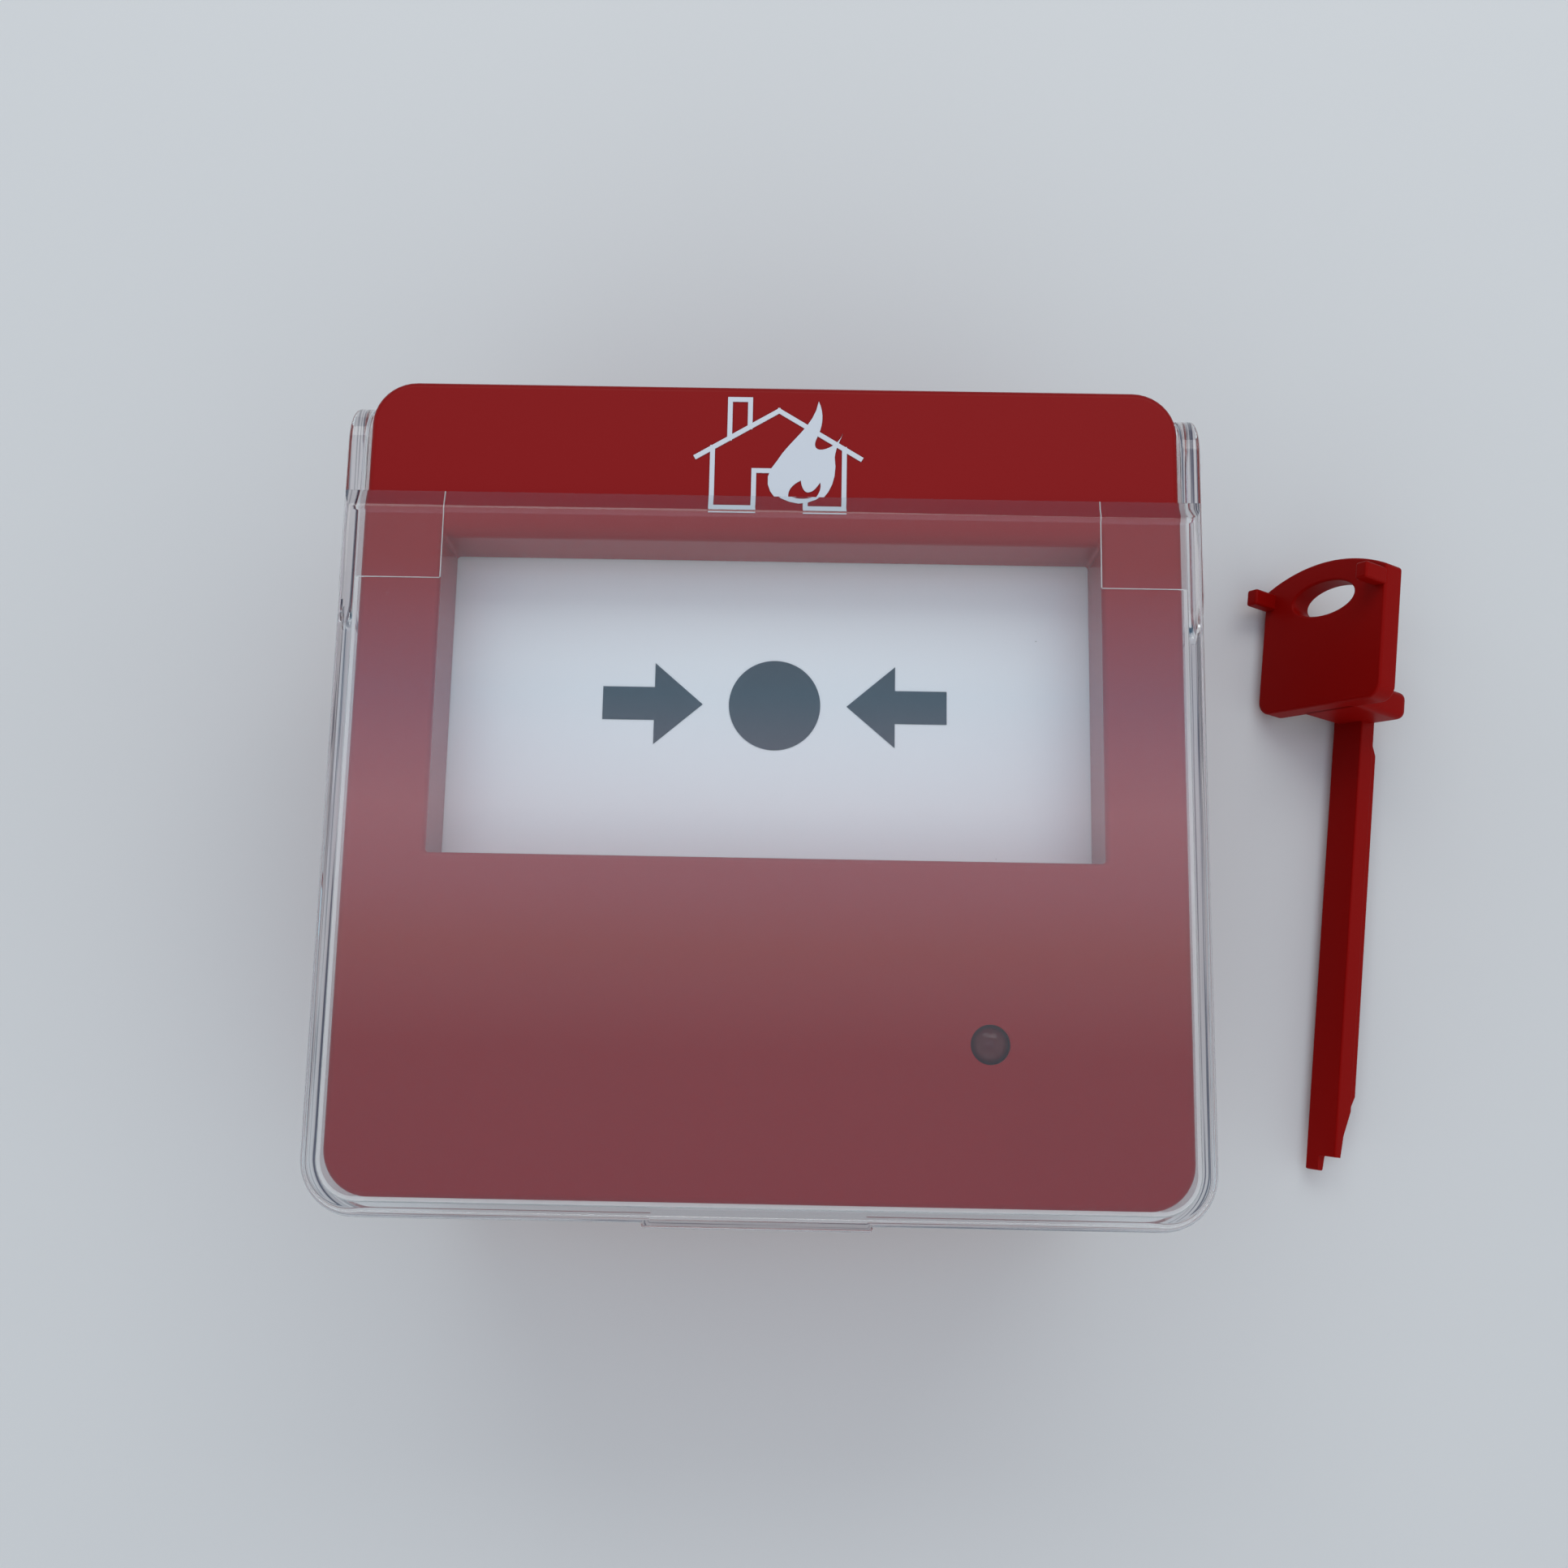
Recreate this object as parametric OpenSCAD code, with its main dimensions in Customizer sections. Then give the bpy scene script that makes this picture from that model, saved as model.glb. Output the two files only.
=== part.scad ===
// Manual call point: a red wall housing with a press window, a clear hinged cover and a test key.
// Origin at the middle of the back face that meets the wall. +X right, +Y up the wall, +Z off the wall.
// All sizes are in millimetres.

/* [Body] */
// Width of the front housing
body_w = 92; // [90:1:112]
// Height of the front housing
body_h = 91; // [88:1:110]
// Distance from the wall to the front face
body_depth = 50; // [48:1:60]
// Corner radius of the front housing
corner_r = 5; // [3:0.5:8]
// Thickness of the housing's side walls
wall_t = 2.2; // [1.6:0.1:3]
// Thickness of the housing's front face
face_t = 2.5; // [2:0.1:3]

/* [Back box] */
// How far the back box is set in from the front housing, each side
box_inset = 1; // [0.5:0.1:1.5]
// Height of the back box's shoulder above the wall
shoulder_z = 22.5; // [22.5:0.5:26]
// Thickness of the seal between the back box and the front housing
seal_t = 1; // [0.6:0.1:1.5]
// Thickness of the back box's floor
floor_t = 2.5; // [2:0.1:4]
// Distance between the two wall screws
wall_screw_pitch = 60; // [50:1:62]
// Diameter of the wall screw holes
wall_hole_d = 4.5; // [3.5:0.1:5]
// Diameter of the cable hole in the back
cable_hole_d = 20; // [16:0.5:22]
// Diameter of the conduit entries in the top
entry_d = 16; // [12:0.5:17]
// Distance between the two conduit entries
entry_pitch = 36; // [26:1:44]

/* [Press window] */
// Width of the press window
window_w = 74; // [60:1:74]
// Height of the press window
window_h = 36; // [30:0.5:38]
// Distance from the housing's top edge down to the window
window_drop = 18.4; // [17.5:0.1:24]
// Depth from the front face to the operating plate
window_depth = 9; // [7:0.1:9]
// Thickness of the window's tunnel walls
rim_t = 1.6; // [1.2:0.1:2]

/* [Operating plate] */
// Thickness of the operating plate
plate_t = 1.6; // [1.2:0.1:2]
// How far the plate reaches behind the window's edge
plate_lap = 2; // [1.5:0.1:2.5]
// How far the plate moves in when it is pressed
press_travel = 2.5; // [1.5:0.1:3]
// How far the yellow flag drops when the plate is pressed
flag_drop = 7.8; // [6:0.1:8.5]

/* [Cover] */
// Wall thickness of the clear cover
cover_t = 1.5; // [1.2:0.1:2]
// Gap between the housing and the clear cover
cover_gap = 0.4; // [0.3:0.05:0.8]
// Gap between the front face and the inside of the cover
cover_lift = 1; // [0.8:0.1:2]
// Depth of the cover's side walls
cover_depth = 15; // [10:0.5:18]
// Distance from the housing's top edge to the cover's top edge
cover_top = 13.8; // [12:0.1:18]
// Distance from the housing's top edge down to the hinge pins
hinge_drop = 7; // [6:0.1:9]
// Distance from the front face back to the hinge pins
hinge_back = 6; // [5.5:0.1:8]
// Diameter of the hinge pins
pin_d = 3.2; // [2.6:0.1:4]
// Running clearance round pins and stems, on the radius
run_gap = 0.08; // [0.05:0.01:0.1]
// Width of the thumb tab
tab_w = 24; // [16:1:30]

/* [Test key] */
// Width of the key's bow
bow_w = 21; // [18:0.5:24]
// Height of the key's bow at its corners
bow_h = 18.1; // [16:0.1:22]
// Thickness of the key's bow
bow_t = 3.2; // [2.5:0.1:4]
// Width of the key's blade
blade_w = 5; // [4:0.1:6]
// Thickness of the key's blade
blade_t = 2.6; // [2:0.1:3.4]
// Length of the key's blade
blade_l = 61.6; // [50:1:70]
// Angle at which the key lies rolled on its side
key_roll = 60; // [50:1:70]
// Angle at which the key leans away from the housing
key_lean = 5.9; // [0:0.1:15]

/* [Hidden] */
$fn = 48;
eps = 0.01;

// Levels above the wall
front_z = body_depth;
face_in_z = front_z - face_t;
housing_z = shoulder_z + seal_t;
tongue_h = 4.5;
tongue_z = shoulder_z + tongue_h;
chassis_z = tongue_z + 2;
chassis_t = 2;
chassis_top = chassis_z + chassis_t;
standoff_h = 3.4;
board_t = 1.6;
board_top = chassis_z - standoff_h;
board_z = board_top - board_t;
plate_top = front_z - window_depth;
plate_z = plate_top - plate_t;
tunnel_gap = 0.4;
tunnel_z = plate_top + tunnel_gap;

// Half sizes of the nested outlines
in_x = body_w / 2 - wall_t;
in_y = body_h / 2 - wall_t;
box_x = body_w / 2 - box_inset;
box_y = body_h / 2 - box_inset;
tongue_gap = 0.6;
tongue_x = in_x - tongue_gap;
tongue_y = in_y - tongue_gap;
tongue_t = 2;
chassis_gap = 1;
chassis_x = in_x - chassis_gap;
chassis_y = in_y - chassis_gap;

// Window and plate
win_hi = body_h / 2 - window_drop;
win_lo = win_hi - window_h;
window_y = (win_hi + win_lo) / 2;
win_r = 1;
plate_x = window_w / 2 + plate_lap;
plate_lo = win_lo - plate_lap;
plate_hi = win_hi + plate_lap - 0.2;
carrier_t = 1.8;
carrier_z = plate_z - carrier_t;
carrier_rail = 7.6;
carrier_x = plate_x - 0.4;
stem_x = carrier_x - carrier_rail / 2;
stem_dy = 15;
stem_r = 1.6;
stem_end_z = chassis_z + 0.4;
spring_r = 2.9;
spring_wire = 0.6;
spring_turns = 5;

// Flag behind the tunnel's upper wall
flag_t = 0.8;
flag_gap = 0.2;
flag_z = tunnel_z - flag_gap - flag_t;
flag_lo = plate_hi + 3;
flag_h = 9;
flag_x = 30;
ear_w = 2;
ear_h = 3;
post_w = 4;

// Status indicator, in the lower right of the front
lens_x = body_w / 2 - 21.6;
lens_y = 17 - body_h / 2;
lens_d = 4.2;
lens_proud = 0.3;

// Switch under the plate
switch_x = 10;
switch_y = window_y - 5.35;
switch_w = 12.8;
switch_d = 6.5;
switch_h = plate_z - press_travel - 1.4 - chassis_top;
lever_l = 14;
lever_t = 0.3;
lever_w = 4;
lever_pin_r = 0.4;
lever_pin_x = switch_x + 0.9;
lever_pin_z = chassis_top + switch_h + 0.25;
lever_rise = plate_z - 0.3 - lever_pin_z - lever_pin_r;
lever_angle = asin(lever_rise / lever_l);

// Keyway in the bottom wall
keyway_w = blade_w + 0.6;
keyway_h = 5.4;
keyway_z = chassis_top + 0.4;
prong_w = 1.9;
prong_h = 2.3;
prong_l = 3.7;
prong_x = bow_w / 2 - prong_w / 2;

// Hinge
hinge_y = body_h / 2 - hinge_drop;
hinge_z = front_z - hinge_back;
hinge_r = 5.5;
boss_in = 3;
cover_in_x = body_w / 2 + cover_gap;
cover_in_y = body_h / 2 + cover_gap;
cover_x = cover_in_x + cover_t;
cover_y = cover_in_y + cover_t;
cover_in_z = front_z + cover_lift;
cover_z = cover_in_z + cover_t;
cover_low = cover_z - cover_depth;
cover_hi = body_h / 2 - cover_top;
arm_t = 2.3;
arm_len = 16.5;
lip_l = 2.2;
lip_drop = 0.9;

// Fixings
post_x = in_x - 6.4;
post_y = -22;
post_r = 3.4;
screw_r = 1.45;
hook_w = 6;
board_x = lens_x + 3.1;
board_lo = lens_y - 4.5;
board_hi = switch_y + 18;
fix_x = board_x - 3.2;
board_fix = [[-fix_x, board_lo + 3], [fix_x, board_lo + 12.5],
             [-fix_x, board_hi - 3], [fix_x, board_hi - 3]];
block_x = 12;
block_y = board_lo + 11;
block_h = 10;
terminal_pitch = 5;
terminals = 4;
terminal_r = 1.7;
switch_levers = 8;

// Outline of a rounded rectangle with half sizes x and y
module rounded(x, y, r) {
    for (i = [-1, 1])
        for (j = [-1, 1])
            translate([i * (x - r), j * (y - r)]) circle(r);
    square([2 * x, 2 * (y - r)], center = true);
    square([2 * (x - r), 2 * y], center = true);
}

// Rounded plate from level z, with height h
module slab(x, y, r, z, h) {
    translate([0, 0, z]) linear_extrude(h) rounded(x, y, r);
}

// Closed frame between an outer and an inner rounded outline
module frame(x, y, r, t, z, h) {
    translate([0, 0, z])
        linear_extrude(h)
            difference() {
                rounded(x, y, r);
                rounded(x - t, y - t, max(r - t, 0.5));
            }
}

module cyl_x(x0, x1, y, z, r) {
    translate([x0, y, z]) rotate([0, 90, 0]) cylinder(h = x1 - x0, r = r);
}

module cyl_y(y0, y1, x, z, r) {
    translate([x, y1, z]) rotate([90, 0, 0]) cylinder(h = y1 - y0, r = r);
}

module block(lo, hi) {
    translate(lo) cube(hi - lo);
}

module both_sides() {
    children();
    mirror([1, 0, 0]) children();
}

// Points of a cubic curve from a to d, leaving out the last point
function curve(a, b, c, d, n = 8) =
    [for (i = [0 : n - 1])
        let (t = i / n, s = 1 - t)
            s * s * s * a + 3 * s * s * t * b + 3 * s * t * t * c + t * t * t * d];

// ---------------------------------------------------------------- back box

module box_walls() {
    frame(box_x, box_y, corner_r - box_inset, wall_t, 0, shoulder_z);
    frame(box_x, box_y, corner_r - box_inset, box_x - tongue_x + tongue_t,
          shoulder_z - 2.5, 2.5);
    frame(tongue_x, tongue_y, corner_r - wall_t, tongue_t, shoulder_z - 2.5, tongue_h + 2.5);
}

module back_box() {
    color("firebrick")
        difference() {
            union() {
                box_walls();
                slab(box_x - 0.5, box_y - 0.5, corner_r - box_inset, 0, floor_t);
                both_sides() translate([post_x, post_y, 0]) cylinder(h = chassis_z, r = post_r);
            }
            both_sides() {
                translate([wall_screw_pitch / 2, 0, -1])
                    cylinder(h = floor_t + 2, d = wall_hole_d);
                translate([post_x, post_y, floor_t + 2])
                    cylinder(h = chassis_z, r = screw_r);
                cyl_y(box_y - wall_t - 1, box_y + 1, entry_pitch / 2, shoulder_z / 2, entry_d / 2);
            }
            translate([0, grommet_y(), -1]) cylinder(h = floor_t + 2, d = cable_hole_d);
        }
}

function grommet_y() = box_y - 20.5;

module box_seal() {
    color("dimgray")
        frame(box_x - 0.2, box_y - 0.2, corner_r - box_inset, box_x - tongue_x - 0.3,
              shoulder_z, seal_t);
}

module cable_grommet() {
    lip = 1.8;
    lip_h = 1.5;
    color("dimgray")
        translate([0, grommet_y(), 0])
            difference() {
                union() {
                    translate([0, 0, 0.3]) cylinder(h = floor_t, d = cable_hole_d - 0.1);
                    translate([0, 0, floor_t]) cylinder(h = lip_h, d = cable_hole_d + 2 * lip);
                }
                translate([0, 0, -1]) cylinder(h = floor_t + 0.8, d = cable_hole_d - 4);
                translate([0, 0, floor_t + 0.9]) cylinder(h = lip_h, d = cable_hole_d - 4);
                cylinder(h = 10, d = 3);
            }
}

module entry_plugs() {
    head = box_inset - 0.1;
    color("firebrick")
        both_sides() {
            cyl_y(box_y, box_y + head, entry_pitch / 2, shoulder_z / 2, entry_d / 2 + 1);
            cyl_y(box_y - wall_t - 1.2, box_y + eps, entry_pitch / 2, shoulder_z / 2,
                  entry_d / 2 - 0.05);
        }
}

// ---------------------------------------------------------------- front housing

module window_outline(grow) {
    translate([0, window_y]) rounded(window_w / 2 + grow, window_h / 2 + grow, win_r + grow);
}

module housing_shell() {
    frame(body_w / 2, body_h / 2, corner_r, wall_t, housing_z, face_in_z - housing_z + eps);
    slab(body_w / 2, body_h / 2, corner_r, face_in_z, face_t - 0.6);
    slab(body_w / 2 - 0.3, body_h / 2 - 0.3, corner_r - 0.3, front_z - 0.7, 0.4);
    slab(body_w / 2 - 0.6, body_h / 2 - 0.6, corner_r - 0.6, front_z - 0.4, 0.4);
}

// Stop above and hook below the edge of the chassis
module chassis_clip(x, side) {
    y0 = side > 0 ? chassis_y - 0.5 : -in_y - 0.5;
    y1 = side > 0 ? in_y + 0.5 : -chassis_y + 0.5;
    block([x - hook_w / 2, y0, chassis_top], [x + hook_w / 2, y1, chassis_top + 2]);
    block([x - hook_w / 2, y0, chassis_z - 1.5], [x + hook_w / 2, y1, chassis_z]);
}

module front_housing() {
    color("firebrick")
        difference() {
            union() {
                housing_shell();
                translate([0, 0, tunnel_z])
                    linear_extrude(face_in_z - tunnel_z + eps) window_outline(rim_t);
                both_sides() {
                    cyl_x(in_x - boss_in, in_x + 0.5, hinge_y, hinge_z, pin_d / 2 + 1.9);
                    chassis_clip(20, 1);
                    chassis_clip(20, -1);
                }
            }
            translate([0, 0, tunnel_z - 1]) linear_extrude(window_depth + 2) window_outline(0);
            both_sides() {
                cyl_x(in_x - boss_in + 0.8, body_w / 2 + 1, hinge_y, hinge_z, pin_d / 2 + run_gap);
                block([prong_x - prong_w / 2 - 0.3, -body_h / 2 - 1, keyway_z + 0.4],
                      [prong_x + prong_w / 2 + 0.3, -in_y + 1, keyway_z + 1 + prong_h]);
            }
            translate([lens_x, lens_y, face_in_z - 1])
                cylinder(h = face_t + 2, d = lens_d + 0.04);
            block([-keyway_w / 2, -body_h / 2 - 1, keyway_z],
                  [keyway_w / 2, -in_y + 1, keyway_z + keyway_h]);
        }
}

// House with a flame, printed on the header
module house_flame_mark() {
    line = 0.55;
    base = 30.3;
    eave = 36.9;
    apex = 42.5;
    half = 7.5;
    reach = 9.3;
    ink = 0.12;
    color("whitesmoke")
        translate([0.6, body_h / 2 - 45.5, front_z])
            linear_extrude(ink) {
                house_lines(line, base, eave, apex, half, reach);
                difference() {
                    polygon(flame_outline());
                    polygon(flame_heart());
                }
            }
}

// One printed line from a to b
module stroke(a, b, w) {
    d = b - a;
    translate(a) rotate(atan2(d[1], d[0])) translate([-w / 2, -w / 2]) square([norm(d) + w, w]);
}

module house_lines(w, base, eave, apex, half, reach) {
    door = [-2.75, 3.15];
    door_top = 35.3;
    chimney = [-5.6, -3.3];
    chimney_top = 43.8;
    slope = (apex - eave) / reach;
    wall_top = apex - slope * half;
    for (s = [-1, 1]) {
        stroke([0, apex], [s * reach, eave], w);
        stroke([s * half, base], [s * half, wall_top], w);
    }
    stroke([-half, base], [door[0], base], w);
    stroke([door[1], base], [half, base], w);
    stroke([door[0], base], [door[0], door_top], w);
    stroke([door[0], door_top], [0, door_top], w);
    stroke([door[1], base], [door[1], base + 0.9], w);
    for (x = chimney) stroke([x, apex + slope * x], [x, chimney_top], w);
    stroke([chimney[0], chimney_top], [chimney[1], chimney_top], w);
}

function flame_outline() = concat(
    curve([4.5, 43.7], [5.2, 42.2], [5.0, 40.6], [4.3, 39.2]),
    curve([4.3, 39.2], [3.9, 38.3], [4.2, 37.6], [5.4, 38.0]),
    curve([5.4, 38.0], [6.4, 38.4], [7.0, 39.0], [7.3, 39.9]),
    curve([7.3, 39.9], [7.0, 39.0], [6.5, 38.2], [6.4, 37.0]),
    curve([6.4, 37.0], [6.9, 34.0], [5.4, 31.0], [2.4, 30.9]),
    curve([2.4, 30.9], [-0.6, 31.2], [-2.4, 34.0], [-0.2, 36.4]),
    curve([-0.2, 36.4], [1.4, 39.2], [4.0, 40.6], [4.5, 43.7]));

function flame_heart() = concat(
    curve([1.2, 32.2], [1.1, 33.0], [1.6, 33.7], [2.6, 34.2]),
    curve([2.6, 34.2], [2.7, 33.2], [3.1, 32.8], [3.4, 32.8]),
    curve([3.4, 32.8], [4.0, 32.8], [4.4, 33.4], [4.8, 34.0]),
    curve([4.8, 34.0], [5.0, 33.2], [4.6, 32.4], [4.0, 31.8]),
    curve([4.0, 31.8], [3.2, 31.4], [1.6, 31.4], [1.2, 32.2]));

// ---------------------------------------------------------------- chassis and board

// Post with a slot that guides one ear of the flag
module flag_post() {
    y0 = flag_lo + flag_h - ear_h - flag_drop - 0.4;
    y1 = flag_lo + flag_h + 0.9;
    x0 = flag_x + 0.4;
    difference() {
        block([x0, y0, chassis_top - eps], [x0 + post_w, y1, tunnel_z + 1]);
        block([x0 - 1, y0 - 1, flag_z - flag_gap],
              [flag_x + ear_w + 0.3, y1 + 1, flag_z + flag_t + flag_gap]);
    }
}

module key_guides() {
    guide_t = 1.2;
    both_sides()
        block([keyway_w / 2 + 0.2, -chassis_y + 1, chassis_top - eps],
              [keyway_w / 2 + 0.2 + guide_t, plate_lo - 2, chassis_top + keyway_h]);
}

module chassis() {
    color("gainsboro")
        difference() {
            union() {
                slab(chassis_x, chassis_y, corner_r - wall_t, chassis_z, chassis_t);
                both_sides() flag_post();
                key_guides();
                for (p = board_fix)
                    translate([p[0], p[1], board_top])
                        cylinder(h = standoff_h + eps, r = 2.4);
            }
            both_sides() {
                for (s = [-1, 1])
                    translate([stem_x, window_y + s * stem_dy, chassis_z - 1])
                        cylinder(h = chassis_t + 2, r = stem_r + run_gap);
                translate([post_x, post_y, chassis_z - 1])
                    cylinder(h = chassis_t + 2, r = screw_r + 0.25);
            }
            translate([lens_x, lens_y, chassis_z - 1]) cylinder(h = chassis_t + 2, r = 2.6);
            for (p = board_fix)
                translate([p[0], p[1], board_top - 1])
                    cylinder(h = standoff_h + 1, r = board_screw_r());
            block([switch_x + 1, switch_y + 2, chassis_z - 1],
                  [switch_x + switch_w - 1, switch_y + 4.5, chassis_top + 1]);
        }
}

function board_screw_r() = 1;

module circuit_board() {
    color("darkgreen")
        difference() {
            block([-board_x, board_lo, board_z], [board_x, board_hi, board_top]);
            for (p = board_fix)
                translate([p[0], p[1], board_z - 1])
                    cylinder(h = board_t + 2, r = board_screw_r() + 0.2);
        }
}

module chip(place, size) {
    translate([place[0] - size[0] / 2, place[1] - size[1] / 2, board_top]) cube(size);
}

module board_chips() {
    color("black") {
        chip([-10, board_hi - 16], [12, 8, 1.8]);
        chip([-16, board_lo + 23], [8, 8, 1.6]);
        chip([4.5, board_lo + 20.5], [5, 7, 1.6]);
        translate([14, board_lo + 25, board_top]) cylinder(h = 3, r = 3);
    }
}

module address_switch() {
    color("crimson")
        difference() {
            translate([-12, address_y() - 4.5, board_z - 3]) cube([24, 9, 3]);
            for (i = [0 : switch_levers - 1])
                translate([address_x(i), address_y(), board_z - 3])
                    cube([1.6, 5, 1.2], center = true);
        }
}

function address_x(i) = (i - (switch_levers - 1) / 2) * 2.54;

function address_y() = board_hi - 10.5;

module address_levers() {
    lever = [1.2, 1.8, 0.9];
    color("white")
        for (i = [0 : switch_levers - 1])
            translate([address_x(i), address_y() + (i % 3 == 0 ? 1.3 : -1.3),
                       board_z - 2.4 - lever[2] / 2])
                cube(lever, center = true);
}

function terminal_x(i) = (i - (terminals - 1) / 2) * terminal_pitch;

module terminal_blocks() {
    len = terminals * terminal_pitch;
    color("seagreen")
        both_sides()
            translate([block_x, block_y, board_z - block_h])
                difference() {
                    translate([-len / 2, -4, 0]) cube([len, 8, block_h]);
                    for (i = [0 : terminals - 1])
                        translate([terminal_x(i), 0, -1]) {
                            cylinder(h = 5, r = terminal_r + 0.05);
                            translate([-1.4, -5, 5]) cube([2.8, 4, 2.8]);
                        }
                }
}

module terminal_screws() {
    color("silver")
        both_sides()
            for (i = [0 : terminals - 1])
                translate([block_x + terminal_x(i), block_y, board_z - block_h + 0.6])
                    difference() {
                        cylinder(h = 3.3, r = terminal_r);
                        translate([-3, -0.3, -1]) cube([6, 0.6, 1.6]);
                    }
}

// Pan-head screw pointing up, its head under level z
module small_screw(z, r, length, head_r, head_h) {
    translate([0, 0, z - head_h])
        difference() {
            union() {
                cylinder(h = head_h, r = head_r);
                cylinder(h = head_h + length, r = r);
            }
            for (a = [0, 90])
                rotate(a) translate([-head_r * 0.6, -0.25, -1]) cube([head_r * 1.2, 0.5, 1.7]);
        }
}

module board_screws() {
    color("silver")
        for (p = board_fix)
            translate([p[0], p[1], 0])
                small_screw(board_z, board_screw_r() - 0.01, board_t + standoff_h - 0.4, 2, 1.2);
}

module chassis_screws() {
    color("silver")
        both_sides()
            translate([post_x, post_y, 0])
                translate([0, 0, 2 * chassis_top])
                    mirror([0, 0, 1])
                        small_screw(chassis_top, screw_r - 0.01, 14, 2.8, 1.8);
}

module status_led() {
    color("gold")
        translate([lens_x, lens_y, board_top]) {
            cylinder(h = 0.6, r = 1.9);
            cylinder(h = 1.4, r = 1.5);
        }
}

module indicator_lens() {
    top = front_z + lens_proud;
    dome = 1.1;
    foot = board_top + 2;
    color("darkred")
        translate([lens_x, lens_y, 0]) {
            translate([0, 0, foot]) cylinder(h = face_in_z - foot, r = 1.8);
            translate([0, 0, face_in_z - 1.1]) cylinder(h = 1.1, r = lens_d / 2 + 0.7);
            translate([0, 0, face_in_z - eps]) cylinder(h = top - dome - face_in_z, d = lens_d);
            translate([0, 0, top - dome - 0.02])
                rotate_extrude()
                    intersection() {
                        translate([0, dome - dome_r(dome)]) circle(dome_r(dome), $fn = 96);
                        square([lens_d, lens_d]);
                    }
        }
}

// Radius of the lens's dome for its height
function dome_r(h) = (pow(lens_d / 2, 2) + h * h) / (2 * h);

// ---------------------------------------------------------------- switch

module switch_body() {
    slot_w = lever_w + 0.3;
    mid = switch_y + switch_d / 2;
    ear = lever_pin_r + 0.35;
    top = chassis_top + switch_h;
    color("black") {
        difference() {
            union() {
                block([switch_x, switch_y, chassis_top], [switch_x + switch_w, switch_y + switch_d, top]);
                block([lever_pin_x - 0.9, switch_y + 0.3, top - eps],
                      [lever_pin_x + 0.9, switch_y + switch_d - 0.3, lever_pin_z + ear]);
            }
            block([lever_pin_x - 2, mid - slot_w / 2, top - 0.5],
                  [lever_pin_x + 1.2, mid + slot_w / 2, lever_pin_z + 3]);
            translate([lever_pin_x, 0, lever_pin_z])
                rotate([-90, 0, 0]) translate([0, 0, switch_y - 1])
                    cylinder(h = switch_d + 2, r = lever_pin_r + 0.05);
        }
        for (i = [0 : 2])
            translate([switch_x + 2 + 4.4 * i, mid, board_top])
                cylinder(h = chassis_t + standoff_h + eps, r = 0.4);
    }
}

module switch_lever() {
    mid = switch_y + switch_d / 2;
    color("silver")
        translate([lever_pin_x, mid, lever_pin_z])
            rotate([0, -lever_angle, 0]) {
                rotate([90, 0, 0])
                    translate([0, 0, -lever_w / 2 - 0.6])
                        cylinder(h = lever_w + 1.2, r = lever_pin_r);
                translate([0, -lever_w / 2, lever_pin_r - lever_t])
                    cube([lever_l, lever_w, lever_t]);
            }
}

// ---------------------------------------------------------------- press mechanism

module operating_plate() {
    color("whitesmoke")
        block([-plate_x, plate_lo, plate_z], [plate_x, plate_hi, plate_top]);
}

// Dot between two arrows that point at it
module plate_marks() {
    dot_r = 5.3;
    tip = 8.35;
    head_l = 5.6;
    head_h = 9.6;
    shaft_l = 6;
    shaft_h = 3.9;
    ink = 0.08;
    color("dimgray")
        translate([0.6, window_y + 0.85, plate_top])
            linear_extrude(ink) {
                circle(dot_r);
                both_sides()
                    polygon([[tip, 0], [tip + head_l, head_h / 2], [tip + head_l, shaft_h / 2],
                             [tip + head_l + shaft_l, shaft_h / 2],
                             [tip + head_l + shaft_l, -shaft_h / 2],
                             [tip + head_l, -shaft_h / 2], [tip + head_l, -head_h / 2]]);
            }
}

module plate_carrier() {
    low = plate_lo + 0.4;
    high = plate_hi - 0.4;
    color("black") {
        translate([0, 0, carrier_z])
            difference() {
                block([-carrier_x, low, 0], [carrier_x, high, carrier_t]);
                block([-carrier_x + carrier_rail, low + 5, -1],
                      [carrier_x - carrier_rail, high - 5, carrier_t + 1]);
            }
        both_sides()
            for (s = [-1, 1])
                translate([stem_x, window_y + s * stem_dy, stem_end_z])
                    cylinder(h = carrier_z - stem_end_z + eps, r = stem_r);
    }
}

// Coil of round wire: mean radius r, height h between the ends of the wire's middle line
module coil(r, wire, h, turns, steps = 14, sides = 6) {
    rings = ceil(turns * steps);
    points = [for (i = [0 : rings], k = [0 : sides - 1])
        let (a = 360 * turns * i / rings, b = 360 * k / sides, d = r + wire / 2 * cos(b))
            [d * cos(a), d * sin(a), h * i / rings + wire / 2 * sin(b)]];
    skin = [for (i = [0 : rings - 1], k = [0 : sides - 1])
        let (n = (k + 1) % sides)
            [i * sides + k, i * sides + n, (i + 1) * sides + n, (i + 1) * sides + k]];
    ends = [[for (k = [sides - 1 : -1 : 0]) k], [for (k = [0 : sides - 1]) rings * sides + k]];
    polyhedron(points, concat(skin, ends));
}

module plate_springs() {
    h = carrier_z - chassis_top - spring_wire;
    color("silver")
        both_sides()
            for (s = [-1, 1])
                translate([stem_x, window_y + s * stem_dy, chassis_top + spring_wire / 2])
                    coil(spring_r - spring_wire / 2, spring_wire, h, spring_turns);
}

// Bent leaf springs whose rounded bumps hold the carrier in or out
module detent_springs() {
    leaf_t = 0.4;
    leaf_w = 5;
    x = carrier_x + 0.8;
    color("silver")
        both_sides()
            translate([x, window_y - leaf_w / 2, chassis_top]) {
                cube([leaf_t, leaf_w, carrier_z - chassis_top + 1]);
                cube([2.4, leaf_w, leaf_t]);
                translate([0.2, 0, carrier_z - chassis_top - 0.8])
                    rotate([-90, 0, 0]) cylinder(h = leaf_w, r = 0.6);
            }
}

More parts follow.
